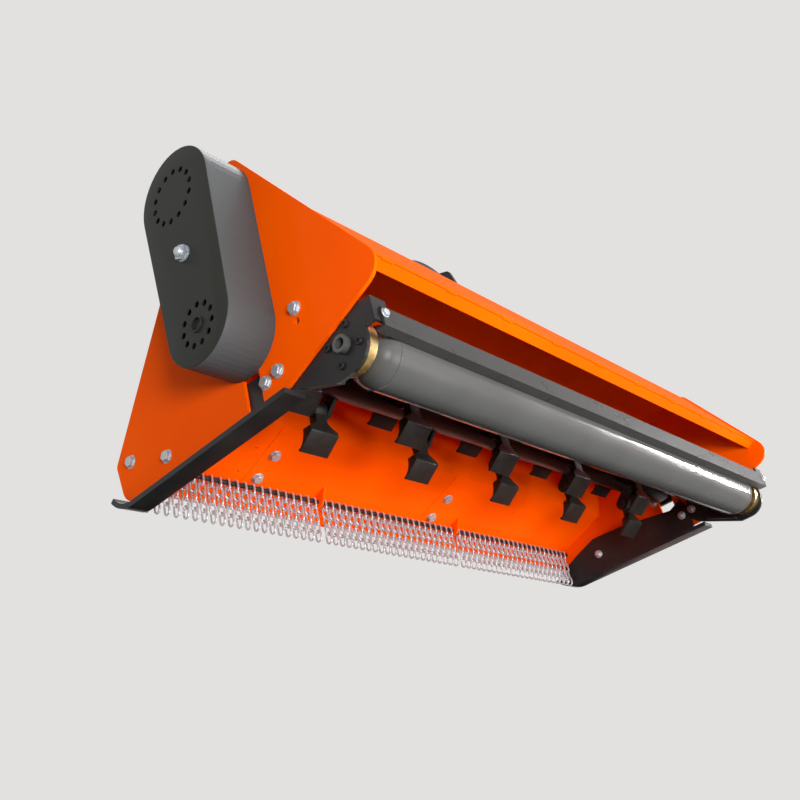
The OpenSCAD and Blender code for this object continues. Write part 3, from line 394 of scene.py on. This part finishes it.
black_w_mm = 6.0
runner_face_mm = 881.6
runner_run_mm = [(-62, 12.4), (398, 12.4)]
bracket_face_mm = 883.6
foot_run_mm = [(-203, -23), (-117, 15)]
ear_run_mm = [(-303.5, 44), (-303.5, 90)]
beads = []
for side in (-1, 1):
    inward = Vector((-side, 0, 0))
    beads.append(plate_weld(side * runner_face_mm, runner_run_mm, inward + upward, black_w_mm))
    beads.append(plate_weld(side * bracket_face_mm, foot_run_mm, inward - upward, black_w_mm))
    beads.append(plate_weld(side * bracket_face_mm, ear_run_mm, inward - forward, black_w_mm))
mast_faces_mm = [(-126.0, -1), (-116.0, 1), (116.0, -1), (126.0, 1)]
mast_run_mm = [(-128, 420.5), (110, 420.5)]
for x, outward in mast_faces_mm:
    beads.append(plate_weld(hitch_mm + x, mast_run_mm, Vector((outward, 0, 0)) + upward,
                            black_w_mm))
clevis_spread_mm = 339.0
clevis_faces_mm = [(-35.0, -1), (-25.0, 1), (25.0, -1), (35.0, 1)]
clevis_run_mm = [(296, 196.6), (438, 147.2)]
for side in (-1, 1):
    for face, outward in clevis_faces_mm:
        beads.append(plate_weld(hitch_mm + side * clevis_spread_mm + face, clevis_run_mm,
                                Vector((outward, 0, 0)) + upward, black_w_mm))
joined(beads, "black_weld_beads", black_paint, "frame")

# Chains: welded wire links, hot-dip galvanised, so brighter and whiter than the bolts, with a
# small spangle. They hang on the rod by their first link.

spangle_mm = 6.0
galvanised, tree = new_tree("galvanised_chain_wire")
where = add_node(tree, "ShaderNodeTexCoord")
spangle = add_node(tree, "ShaderNodeTexNoise", {"Scale": 1000 / spangle_mm, "Detail": 3.0},
                   {"Vector": where.outputs["Object"]})
wire_tint = add_node(tree, "ShaderNodeMix",
                     {"data_type": "RGBA", 6: linear("#B2B6BA"), 7: linear("#DADDDF")},
                     {0: spangle.outputs["Fac"]})
wire_gloss = add_node(tree, "ShaderNodeMapRange", {"To Min": 0.20, "To Max": 0.38},
                      {"Value": spangle.outputs["Fac"]})
wire = add_node(tree, "ShaderNodeBsdfPrincipled", {"Metallic": 0.65},
                {"Base Color": wire_tint.outputs[2], "Roughness": wire_gloss.outputs[0]})
add_node(tree, "ShaderNodeOutputMaterial", None, {"Surface": wire.outputs[0]})
dress(["chain_left", "chain_middle", "chain_right"], galvanised)

# Frame bolts: cold-headed hexagon bolts on flat washers, through the side plates and the apron,
# each but the two at the chain rod drawn up by a nut with the thread's end standing out of it. The
# zinc plate is a bluish silver, slightly cloudy, and duller where it has been handled.

cloudy_mm = 9.0
bright_zinc, tree = new_tree("blue_zinc_plate")
where = add_node(tree, "ShaderNodeTexCoord")
cloudy = add_node(tree, "ShaderNodeTexNoise", {"Scale": 1000 / cloudy_mm, "Detail": 4.0},
                  {"Vector": where.outputs["Object"]})
silver = add_node(tree, "ShaderNodeMix",
                  {"data_type": "RGBA", 6: linear("#98A1A9"), 7: linear("#CDD3D8")},
                  {0: cloudy.outputs["Fac"]})
dull = add_node(tree, "ShaderNodeMapRange", {"To Min": 0.24, "To Max": 0.42},
                {"Value": cloudy.outputs["Fac"]})
zinc = add_node(tree, "ShaderNodeBsdfPrincipled", {"Metallic": 0.6},
                {"Base Color": silver.outputs[2], "Roughness": dull.outputs[0]})
add_node(tree, "ShaderNodeOutputMaterial", None, {"Surface": zinc.outputs[0]})


def pick_edges(test):
    bpy.context.tool_settings.mesh_select_mode = (False, True, False)
    mesh = bmesh.from_edit_mesh(bpy.context.object.data)
    for edge in mesh.edges:
        edge.select_set(test([v.co for v in edge.verts]))
    bmesh.update_edit_mesh(bpy.context.object.data)


same_height = 1e-6


def chamfered_disc(sides, radius, low, high, chamfer, segments=1):
    bpy.ops.mesh.primitive_cylinder_add(vertices=sides, radius=radius, depth=high - low,
                                        location=(0, 0, (low + high) / 2))
    disc = bpy.context.object
    bpy.ops.object.transform_apply(location=True)
    bpy.ops.object.mode_set(mode="EDIT")
    bpy.ops.mesh.select_all(action="DESELECT")
    pick_edges(lambda ends: all(abs(p.z - high) < same_height for p in ends))
    bpy.ops.mesh.bevel(offset=chamfer, segments=segments)
    bpy.ops.object.mode_set(mode="OBJECT")
    return disc


washer_r, washer_top, washer_chamfer = 0.0158, 0.0024, 0.0006
head_r, head_top, head_chamfer = 0.0130, 0.0105, 0.0016
nut_washer_r, nut_washer_top = 0.0136, 0.0022
nut_r, nut_top, nut_chamfer = 0.0120, 0.0100, 0.0014
thread_r, thread_low, thread_top, thread_chamfer = 0.0069, 0.0090, 0.0135, 0.0012


def hex_bolt(grip, nut):
    parts = [chamfered_disc(24, washer_r, 0.0, washer_top, washer_chamfer),
             chamfered_disc(6, head_r, washer_top, head_top, head_chamfer)]
    if nut:
        nut_body = chamfered_disc(6, nut_r, grip + nut_washer_top, grip + nut_top, nut_chamfer)
        nut_washer = chamfered_disc(24, nut_washer_r, grip, grip + nut_washer_top, washer_chamfer)
        thread_end = chamfered_disc(16, thread_r, grip + thread_low, grip + thread_top,
                                    thread_chamfer)
        far_end = merged([nut_body, nut_washer, thread_end])
        far_end.rotation_euler = (math.pi, 0, 0)
        bpy.ops.object.transform_apply(rotation=True)
        parts.append(far_end)
    return merged(parts)


def laid_out(model, places):
    copies = []
    for point, outward in places:
        copy = model.copy()
        copy.data = model.data.copy()
        bpy.context.collection.objects.link(copy)
        turn = outward.to_track_quat("Z", "X").to_matrix().to_4x4()
        copy.matrix_world = Matrix.Translation(point) @ turn
        copies.append(copy)
    bpy.data.objects.remove(model)
    bpy.ops.object.select_all(action="DESELECT")
    for copy in copies:
        copy.select_set(True)
    bpy.context.view_layer.objects.active = copies[0]
    bpy.ops.object.transform_apply(location=True, rotation=True, scale=True)
    return copies


plate_face_mm = 900.0
outwards = {-1: Vector((-1, 0, 0)), 1: Vector((1, 0, 0))}


def on_plates(face_mm, holes_mm):
    return [(spot(side * face_mm, y, z), outwards[side])
            for side in outwards for y, z in holes_mm]


skid_holes_mm = [(292, 69), (-39, 66)]
bracket_holes_mm = [(-152, 175), (-77, 72)]
rod_holes_mm = [(421, 120)]
housing_thick_mm = 12
housing_hole_mm = 41.76
housing_holes_mm = [(y, rotor_height_mm + z) for y in (-housing_hole_mm, housing_hole_mm)
                    for z in (-housing_hole_mm, housing_hole_mm)]
apron_top_mm = (248, 198)
apron_long_mm, apron_fall_mm = 207, 72
apron_holes_mm = [(y, apron_top_mm[1] - (y - apron_top_mm[0]) * apron_fall_mm / apron_long_mm)
                  for y in (331, 406)]
under_apron = -upward * 0.9445 - forward * 0.3285
# Each set: the grip in metres, whether a nut closes it, and the places.
bolt_sets = [
    (0.018, True, on_plates(plate_face_mm, skid_holes_mm)),
    (0.016, True, on_plates(plate_face_mm, bracket_holes_mm)),
    (0.008, False, on_plates(plate_face_mm, rod_holes_mm)),
    (0.020, True, on_plates(plate_face_mm + housing_thick_mm, housing_holes_mm)),
    (0.015, True, [(spot(hitch_mm + side * clevis_spread_mm, y, z), under_apron)
                   for side in outwards for y, z in apron_holes_mm]),
]
bolts = []
for grip, nut, places in bolt_sets:
    bolts += laid_out(hex_bolt(grip, nut), places)
frame_bolts = joined(bolts, "frame_bolts", bright_zinc, "frame")
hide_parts("body_bolts")

# Roller bearing screws: low round heads with a socket, on the roller brackets, painted over with
# them in satin black.


def pick_faces(test):
    bpy.context.tool_settings.mesh_select_mode = (False, False, True)
    mesh = bmesh.from_edit_mesh(bpy.context.object.data)
    for face in mesh.faces:
        face.select_set(test(face))
    bmesh.update_edit_mesh(bpy.context.object.data)


roller_mm = (-245.0, 34.0)
bearing_screws = 4
screw_ring_mm = 41.0
screw_start = 21.0
screw_r, screw_top, screw_round = 0.008, 0.005, 0.0012
socket_wall = 0.0026
socket_deep = 0.003
square_on = 0.99
holes_mm = []
for i in range(bearing_screws):
    angle = math.radians(screw_start + 360 / bearing_screws * i)
    holes_mm.append((roller_mm[0] + screw_ring_mm * math.cos(angle),
                     roller_mm[1] + screw_ring_mm * math.sin(angle)))
socket_screw = chamfered_disc(24, screw_r, 0.0, screw_top, screw_round, 2)
bpy.ops.object.mode_set(mode="EDIT")
pick_faces(lambda face: face.normal.z > square_on)
bpy.ops.mesh.inset(thickness=socket_wall)
bpy.ops.mesh.extrude_region_move(TRANSFORM_OT_translate={"value": (0, 0, -socket_deep)})
bpy.ops.object.mode_set(mode="OBJECT")
joined(laid_out(socket_screw, on_plates(plate_half_mm, holes_mm)), "roller_bearing_screws",
       black_paint, "frame")

# Rear roller: a drawn tube with pressed domed ends welded in, sprayed in a high-gloss grey that
# mirrors the lamps as long streaks.

haze_mm = 120.0
grey_gloss, tree = new_tree("gloss_grey_enamel")
where = add_node(tree, "ShaderNodeTexCoord")
haze = add_node(tree, "ShaderNodeTexNoise", {"Scale": 1000 / haze_mm, "Detail": 4.0},
                {"Vector": where.outputs["Object"]})
grey = add_node(tree, "ShaderNodeMix",
                {"data_type": "RGBA", 6: linear("#434342"), 7: linear("#4F4F4E")},
                {0: haze.outputs["Fac"]})
polish = add_node(tree, "ShaderNodeMapRange", {"To Min": 0.12, "To Max": 0.26},
                  {"Value": haze.outputs["Fac"]})
enamel = add_node(tree, "ShaderNodeBsdfPrincipled",
                  {"IOR": 1.52, "Specular IOR Level": 0.3, "Coat Weight": 0.35,
                   "Coat Roughness": 0.05},
                  {"Base Color": grey.outputs[2], "Roughness": polish.outputs[0]})
add_node(tree, "ShaderNodeOutputMaterial", None, {"Surface": enamel.outputs[0]})

merge_gap = 0.00003
flat_angle = math.radians(1.0)


def copy_of(node):
    piece = bpy.data.objects.new(node + "_copy", cad_nodes[node].data.copy())
    bpy.context.collection.objects.link(piece)
    bpy.ops.object.select_all(action="DESELECT")
    piece.select_set(True)
    bpy.context.view_layer.objects.active = piece
    if piece.data.has_custom_normals:
        bpy.ops.mesh.customdata_custom_splitnormals_clear()
    bpy.ops.object.mode_set(mode="EDIT")
    bpy.ops.mesh.select_all(action="SELECT")
    bpy.ops.mesh.remove_doubles(threshold=merge_gap)
    bpy.ops.mesh.dissolve_limited(angle_limit=flat_angle)
    bpy.ops.object.mode_set(mode="OBJECT")
    return piece


drum = joined([copy_of("roller")], "roller_drum", grey_gloss, "roller")
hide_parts("roller")

drum_radius = 0.064
drum_end_mm = 800.0
dome_weld_r = 0.0022
dome_weld_sunk = 0.0009
rings = []
for side in outwards:
    bpy.ops.mesh.primitive_torus_add(major_segments=72, minor_segments=8,
                                     major_radius=drum_radius - dome_weld_sunk,
                                     minor_radius=dome_weld_r, rotation=(0, math.pi / 2, 0),
                                     location=spot(side * drum_end_mm, *roller_mm))
    bpy.ops.object.transform_apply(location=True, rotation=True, scale=True)
    rings.append(bpy.context.object)
joined(rings, "roller_dome_welds", grey_gloss, "roller")

# Scraper: a hot-rolled angle that clears the roller, in a thin semi-gloss dark grey over the
# rolled skin, bolted to the ears of the roller brackets.

rolled_mm = 60.0
scraper_paint, tree = new_tree("semi_gloss_dark_grey_paint")
where = add_node(tree, "ShaderNodeTexCoord")
rolled = add_node(tree, "ShaderNodeTexNoise", {"Scale": 1000 / rolled_mm, "Detail": 4.0},
                  {"Vector": where.outputs["Object"]})
rolled_tint = add_node(tree, "ShaderNodeMix",
                       {"data_type": "RGBA", 6: linear("#2F2E2E"), 7: linear("#3A3939")},
                       {0: rolled.outputs["Fac"]})
rolled_sheen = add_node(tree, "ShaderNodeMapRange", {"To Min": 0.22, "To Max": 0.36},
                        {"Value": rolled.outputs["Fac"]})
angle_paint = add_node(tree, "ShaderNodeBsdfPrincipled", {"IOR": 1.5, "Specular IOR Level": 0.2},
                       {"Base Color": rolled_tint.outputs[2], "Roughness": rolled_sheen.outputs[0]})
add_node(tree, "ShaderNodeOutputMaterial", None, {"Surface": angle_paint.outputs[0]})
dress(["scraper"], scraper_paint)

scraper_hole_mm = (866.0, -335.0, 58.0)
small_washer_r, small_washer_top, small_washer_chamfer = 0.0098, 0.0018, 0.0005
small_head_r, small_head_top, small_head_chamfer = 0.0080, 0.0068, 0.0010
places = [(spot(side * scraper_hole_mm[0], *scraper_hole_mm[1:]), -forward) for side in outwards]
scraper_bolt = merged([
    chamfered_disc(20, small_washer_r, 0.0, small_washer_top, small_washer_chamfer),
    chamfered_disc(6, small_head_r, small_washer_top, small_head_top, small_head_chamfer)])
joined(laid_out(scraper_bolt, places), "scraper_bolts", bright_zinc, "frame")

# Roller bearings: pressed flange housings, screwed to the roller brackets, in yellow passivated
# zinc with its straw and reddish clouds.

straw_mm = 14.0
yellow_zinc, tree = new_tree("yellow_passivated_zinc")
where = add_node(tree, "ShaderNodeTexCoord")
straw = add_node(tree, "ShaderNodeTexNoise", {"Scale": 1000 / straw_mm, "Detail": 3.0},
                 {"Vector": where.outputs["Object"]})
rainbow = add_node(tree, "ShaderNodeValToRGB", None, {"Fac": straw.outputs["Fac"]})
rainbow.color_ramp.elements[0].position = 0.30
rainbow.color_ramp.elements[0].color = linear("#A98F55")
rainbow.color_ramp.elements[1].position = 0.70
rainbow.color_ramp.elements[1].color = linear("#DCCB8E")
rosy = rainbow.color_ramp.elements.new(0.5)
rosy.color = linear("#C7A878")
passivated = add_node(tree, "ShaderNodeBsdfPrincipled", {"Metallic": 1.0, "Roughness": 0.32},
                      {"Base Color": rainbow.outputs["Color"]})
add_node(tree, "ShaderNodeOutputMaterial", None, {"Surface": passivated.outputs[0]})
dress(["roller_bearings"], yellow_zinc)

# Belt guard: a rolled steel band in satin grey, closed by a pressed dark face with a fine texture
# coat, which a domed nut holds. The face's rim is rounded where it was drawn over the die, and is
# grey like the band from the bend on. Both grains are drawn coarser than the real ones to show.

satin_mm = 4.0
band_coat, tree = new_tree("satin_grey_coat")
where = add_node(tree, "ShaderNodeTexCoord")
satin = add_node(tree, "ShaderNodeTexNoise", {"Scale": 1000 / satin_mm, "Detail": 2.0},
                 {"Vector": where.outputs["Object"]})
satin_tint = add_node(tree, "ShaderNodeMix",
                      {"data_type": "RGBA", 6: linear("#424445"), 7: linear("#4C4E4F")},
                      {0: satin.outputs["Fac"]})
satin_bump = add_node(tree, "ShaderNodeBump", {"Strength": 0.1, "Distance": 0.0005},
                      {"Height": satin.outputs["Fac"]})
band_paint = add_node(tree, "ShaderNodeBsdfPrincipled",
                      {"Roughness": 0.42, "IOR": 1.5, "Specular IOR Level": 0.08},
                      {"Base Color": satin_tint.outputs[2], "Normal": satin_bump.outputs[0]})
add_node(tree, "ShaderNodeOutputMaterial", None, {"Surface": band_paint.outputs[0]})
dress(["guard_band"], band_coat)
dress(["guard_nut"], bright_zinc)

grit_mm = 3.0
face_coat, tree = new_tree("dark_texture_coat")
where = add_node(tree, "ShaderNodeTexCoord")
grit = add_node(tree, "ShaderNodeTexNoise", {"Scale": 1000 / grit_mm, "Detail": 3.0},
                {"Vector": where.outputs["Object"]})
face_tint = add_node(tree, "ShaderNodeMix",
                     {"data_type": "RGBA", 6: linear("#1B1C19"), 7: linear("#252621")},
                     {0: grit.outputs["Fac"]})
grit_bump = add_node(tree, "ShaderNodeBump", {"Strength": 0.25, "Distance": 0.0006},
                     {"Height": grit.outputs["Fac"]})
face_paint = add_node(tree, "ShaderNodeBsdfPrincipled",
                      {"Roughness": 0.5, "IOR": 1.5, "Specular IOR Level": 0.25},
                      {"Base Color": face_tint.outputs[2], "Normal": grit_bump.outputs[0]})
add_node(tree, "ShaderNodeOutputMaterial", None, {"Surface": face_paint.outputs[0]})

upper_end = spot(0, 18, 548)
lower_end = spot(0, 0, 200)
lower_radius = 0.097
radius_gain = 0.015
rim_band = 0.004
rim_round = 0.0025
face_proud = 0.014
boss_proud = 0.004
face_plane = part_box("guard_band")[0][0] - face_proud
boss_plane = face_plane - boss_proud
boss_wall = 0.0035
boss_recess = 0.006
rim_turn = 0.6
same_plane = 1e-4


def near_rim(point):
    lengthwise = upper_end - lower_end
    share = min(max((point - lower_end).dot(lengthwise) / lengthwise.length_squared, 0.0), 1.0)
    centre = lower_end + lengthwise * share
    radius = lower_radius + radius_gain * share
    return Vector((point.y - centre.y, point.z - centre.z)).length > radius - rim_band


guard_face = copy_of("guard_face")
bpy.ops.object.mode_set(mode="EDIT")
bpy.ops.mesh.select_all(action="DESELECT")
pick_edges(lambda ends: all(abs(p.x - face_plane) < same_plane and near_rim(p) for p in ends))
bpy.ops.mesh.bevel(offset=rim_round, segments=3)
pick_faces(lambda face: (face.normal.x < -square_on
                         and abs(face.calc_center_median().x - boss_plane) < same_plane))
bpy.ops.mesh.inset(thickness=boss_wall)
bpy.ops.mesh.extrude_region_move(TRANSFORM_OT_translate={"value": (boss_recess, 0, 0)})
bpy.ops.object.mode_set(mode="OBJECT")
joined([guard_face], "guard_pressed_face", face_coat, "frame")
guard_face.data.materials.append(band_coat)
for face in guard_face.data.polygons:
    if abs(face.normal.x) < rim_turn and near_rim(face.center):
        face.material_index = 1
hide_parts("guard_face")

# Gearbox, bearing housings and pulleys: grey iron castings, painted black over the sand-cast
# skin, which stays rough to the touch; its grain is drawn coarser than the real one to show.
# The gearbox's and the bearing housings' edges are rounded, as a mould leaves them.

sand_mm = 6.0
cast_black, tree = new_tree("painted_iron_casting")
where = add_node(tree, "ShaderNodeTexCoord")
sand = add_node(tree, "ShaderNodeTexNoise", {"Scale": 1000 / sand_mm, "Detail": 5.0},
                {"Vector": where.outputs["Object"]})
cast_tint = add_node(tree, "ShaderNodeMix",
                     {"data_type": "RGBA", 6: linear("#232322"), 7: linear("#343433")},
                     {0: sand.outputs["Fac"]})
sand_bump = add_node(tree, "ShaderNodeBump", {"Strength": 0.4, "Distance": 0.001},
                     {"Height": sand.outputs["Fac"]})
casting = add_node(tree, "ShaderNodeBsdfPrincipled",
                   {"Roughness": 0.48, "IOR": 1.5, "Specular IOR Level": 0.3},
                   {"Base Color": cast_tint.outputs[2], "Normal": sand_bump.outputs[0]})
add_node(tree, "ShaderNodeOutputMaterial", None, {"Surface": casting.outputs[0]})
dress(["lower_pulley", "upper_pulley"], cast_black)

sharp_angle = math.radians(40)


def rounded_copy(node, radius, segments):
    piece = copy_of(node)
    soft_edge = piece.modifiers.new("cast_edge", "BEVEL")
    soft_edge.width = radius
    soft_edge.segments = segments
    soft_edge.limit_method = "ANGLE"
    soft_edge.angle_limit = sharp_angle
    bpy.ops.object.modifier_apply(modifier="cast_edge")
    return piece


gearbox_round = 0.004
housing_round = 0.003
gearbox = joined([rounded_copy("gearbox_housing", gearbox_round, 3)], "gearbox_casting",
                 cast_black, "frame")
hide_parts("gearbox_housing")
bearings = joined([rounded_copy("rotor_bearings", housing_round, 2)], "rotor_bearing_castings",
                  cast_black, "frame")
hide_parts("rotor_bearings")

# Gearbox fasteners: cover screws round the rear cover, flange bolts at both ends of the cross
# tube, and the filler plug with its breather on top. The screws are zinc plated, and the plug is
# painted with the casting.

cross_mm = (24.0, 546.0)
cover_screws = 8
cover_ring_mm = 68
cover_face_mm = -36
places = []
for i in range(cover_screws):
    angle = 2 * math.pi * (i + 0.5) / cover_screws
    places.append((spot(hitch_mm + cover_ring_mm * math.cos(angle), cover_face_mm,
                        cross_mm[1] + cover_ring_mm * math.sin(angle)), -forward))
flange_bolts = 6
flange_ring_mm = 57.5
flange_faces_mm = [(-364.0, -1), (-882.0, 1)]
for i in range(flange_bolts):
    angle = 2 * math.pi * (i + 0.5) / flange_bolts
    y = cross_mm[0] + flange_ring_mm * math.cos(angle)
    z = cross_mm[1] + flange_ring_mm * math.sin(angle)
    for x, side in flange_faces_mm:
        places.append((spot(x, y, z), outwards[side]))
collar_r, collar_top, collar_chamfer = 0.0092, 0.0016, 0.0004
cap_r, cap_top, cap_chamfer = 0.0080, 0.0070, 0.0010
cover_screw = merged([chamfered_disc(16, collar_r, 0.0, collar_top, collar_chamfer),
                      chamfered_disc(6, cap_r, collar_top, cap_top, cap_chamfer)])
joined(laid_out(cover_screw, places), "gearbox_screws", bright_zinc, "frame")

plug_mm = (hitch_mm + 20, cross_mm[0] - 8, 661.0)
plug_seat_r, plug_seat_top, plug_seat_chamfer = 0.017, 0.006, 0.001
plug_hex_r, plug_hex_top, plug_hex_chamfer = 0.013, 0.016, 0.0016
breather_r, breather_top, breather_round = 0.008, 0.022, 0.003
plug = merged([chamfered_disc(24, plug_seat_r, 0.0, plug_seat_top, plug_seat_chamfer),
               chamfered_disc(6, plug_hex_r, plug_seat_top, plug_hex_top, plug_hex_chamfer),
               chamfered_disc(20, breather_r, plug_hex_top, breather_top, breather_round, 3)])
joined(laid_out(plug, [(spot(*plug_mm), upward)]), "gearbox_breather", cast_black, "frame")

# V-belts: cord-reinforced rubber with a matt fabric cover, run in the pulleys' grooves inside the
# guard. The weave is drawn coarser than the real one to show.

weave_mm = 2.0
belt_rubber, tree = new_tree("belt_rubber")
where = add_node(tree, "ShaderNodeTexCoord")
weave = add_node(tree, "ShaderNodeTexNoise", {"Scale": 1000 / weave_mm},
                 {"Vector": where.outputs["Object"]})
rubber_tint = add_node(tree, "ShaderNodeMix",
                       {"data_type": "RGBA", 6: linear("#161616"), 7: linear("#222221")},
                       {0: weave.outputs["Fac"]})
rubber = add_node(tree, "ShaderNodeBsdfPrincipled", {"Roughness": 0.8, "IOR": 1.52},
                  {"Base Color": rubber_tint.outputs[2]})
add_node(tree, "ShaderNodeOutputMaterial", None, {"Surface": rubber.outputs[0]})
dress(["v_belts"], belt_rubber)

# Shafts: turned and ground steel, bare and lightly oiled, held in the castings' bores. The fine
# turning marks are drawn coarser than the real ones to show.

turning_mm = 1.5
ground_steel, tree = new_tree("ground_steel")
where = add_node(tree, "ShaderNodeTexCoord")
turning = add_node(tree, "ShaderNodeTexNoise", {"Scale": 1000 / turning_mm},
                   {"Vector": where.outputs["Object"]})
steel_tint = add_node(tree, "ShaderNodeMix",
                      {"data_type": "RGBA", 6: linear("#9C9B98"), 7: linear("#C4C3C0")},
                      {0: turning.outputs["Fac"]})
steel = add_node(tree, "ShaderNodeBsdfPrincipled", {"Metallic": 1.0, "Roughness": 0.3},
                 {"Base Color": steel_tint.outputs[2]})
add_node(tree, "ShaderNodeOutputMaterial", None, {"Surface": steel.outputs[0]})
dress(["cross_shaft", "input_shaft"], ground_steel)

# Lug welds: each pair of hammer lugs is welded to the rotor tube along its outer faces, in two
# short beads a side that follow the tube, and painted over with the rotor.

hammer_count = 20
hammer_run_mm = 868.0
hammer_step_mm = 2 * hammer_run_mm / hammer_count
row_angles = [-45, 135, 45, -135]
tube_mm = 57.4
lug_face_mm = 27.9
bead_arc = 19
beads = []
for i in range(hammer_count):
    for side in (-1, 1):
        lug_mm = (i - (hammer_count - 1) / 2) * hammer_step_mm + side * lug_face_mm
        axis_point = Vector((body_middle + lug_mm / 1000, rotor_point.y, rotor_point.z))
        for arc in [(-bead_arc, 0), (0, bead_arc)]:
            ends = []
            for spread in arc:
                angle = math.radians(row_angles[i % 4] + spread)
                ends.append(Vector((axis_point.x,
                                    rotor_point.y + tube_mm / 1000 * math.sin(angle),
                                    rotor_point.z - tube_mm / 1000 * math.cos(angle))))
            outward = (ends[0] + ends[1] - 2 * axis_point).normalized()
            beads.append(weld_bead(*ends, outward + Vector((side, 0, 0)), black_w_mm))
joined(beads, "lug_weld_beads", black_paint, "rotor")

# Hammers: drop-forged steel, hung between the lugs on bolts, and oiled black over the forging
# scale, which leaves darker and browner patches. The die leaves every edge rounded.

scale_mm = 16.0
oiled_forging, tree = new_tree("oiled_black_forging")
where = add_node(tree, "ShaderNodeTexCoord")
scale = add_node(tree, "ShaderNodeTexNoise",
                 {"Scale": 1000 / scale_mm, "Detail": 6.0, "Roughness": 0.65},
                 {"Vector": where.outputs["Object"]})
forge_tint = add_node(tree, "ShaderNodeMix",
                      {"data_type": "RGBA", 6: linear("#100F0E"), 7: linear("#25231F")},
                      {0: scale.outputs["Fac"]})
oil = add_node(tree, "ShaderNodeMapRange", {"To Min": 0.24, "To Max": 0.55},
               {"Value": scale.outputs["Fac"]})
scale_bump = add_node(tree, "ShaderNodeBump", {"Strength": 0.35, "Distance": 0.001},
                      {"Height": scale.outputs["Fac"]})
forging = add_node(tree, "ShaderNodeBsdfPrincipled", {"IOR": 1.5, "Specular IOR Level": 0.4},
                   {"Base Color": forge_tint.outputs[2], "Roughness": oil.outputs[0],
                    "Normal": scale_bump.outputs[0]})
add_node(tree, "ShaderNodeOutputMaterial", None, {"Surface": forging.outputs[0]})
dress(["hammer_bolts"], oiled_forging)

forged_round = 0.0018
for i in range(hammer_count):
    node = f"hammer_{i + 1:02d}"
    hammer = joined([rounded_copy(node, forged_round, 2)], "forged_" + node, oiled_forging, node)
    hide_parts(node)
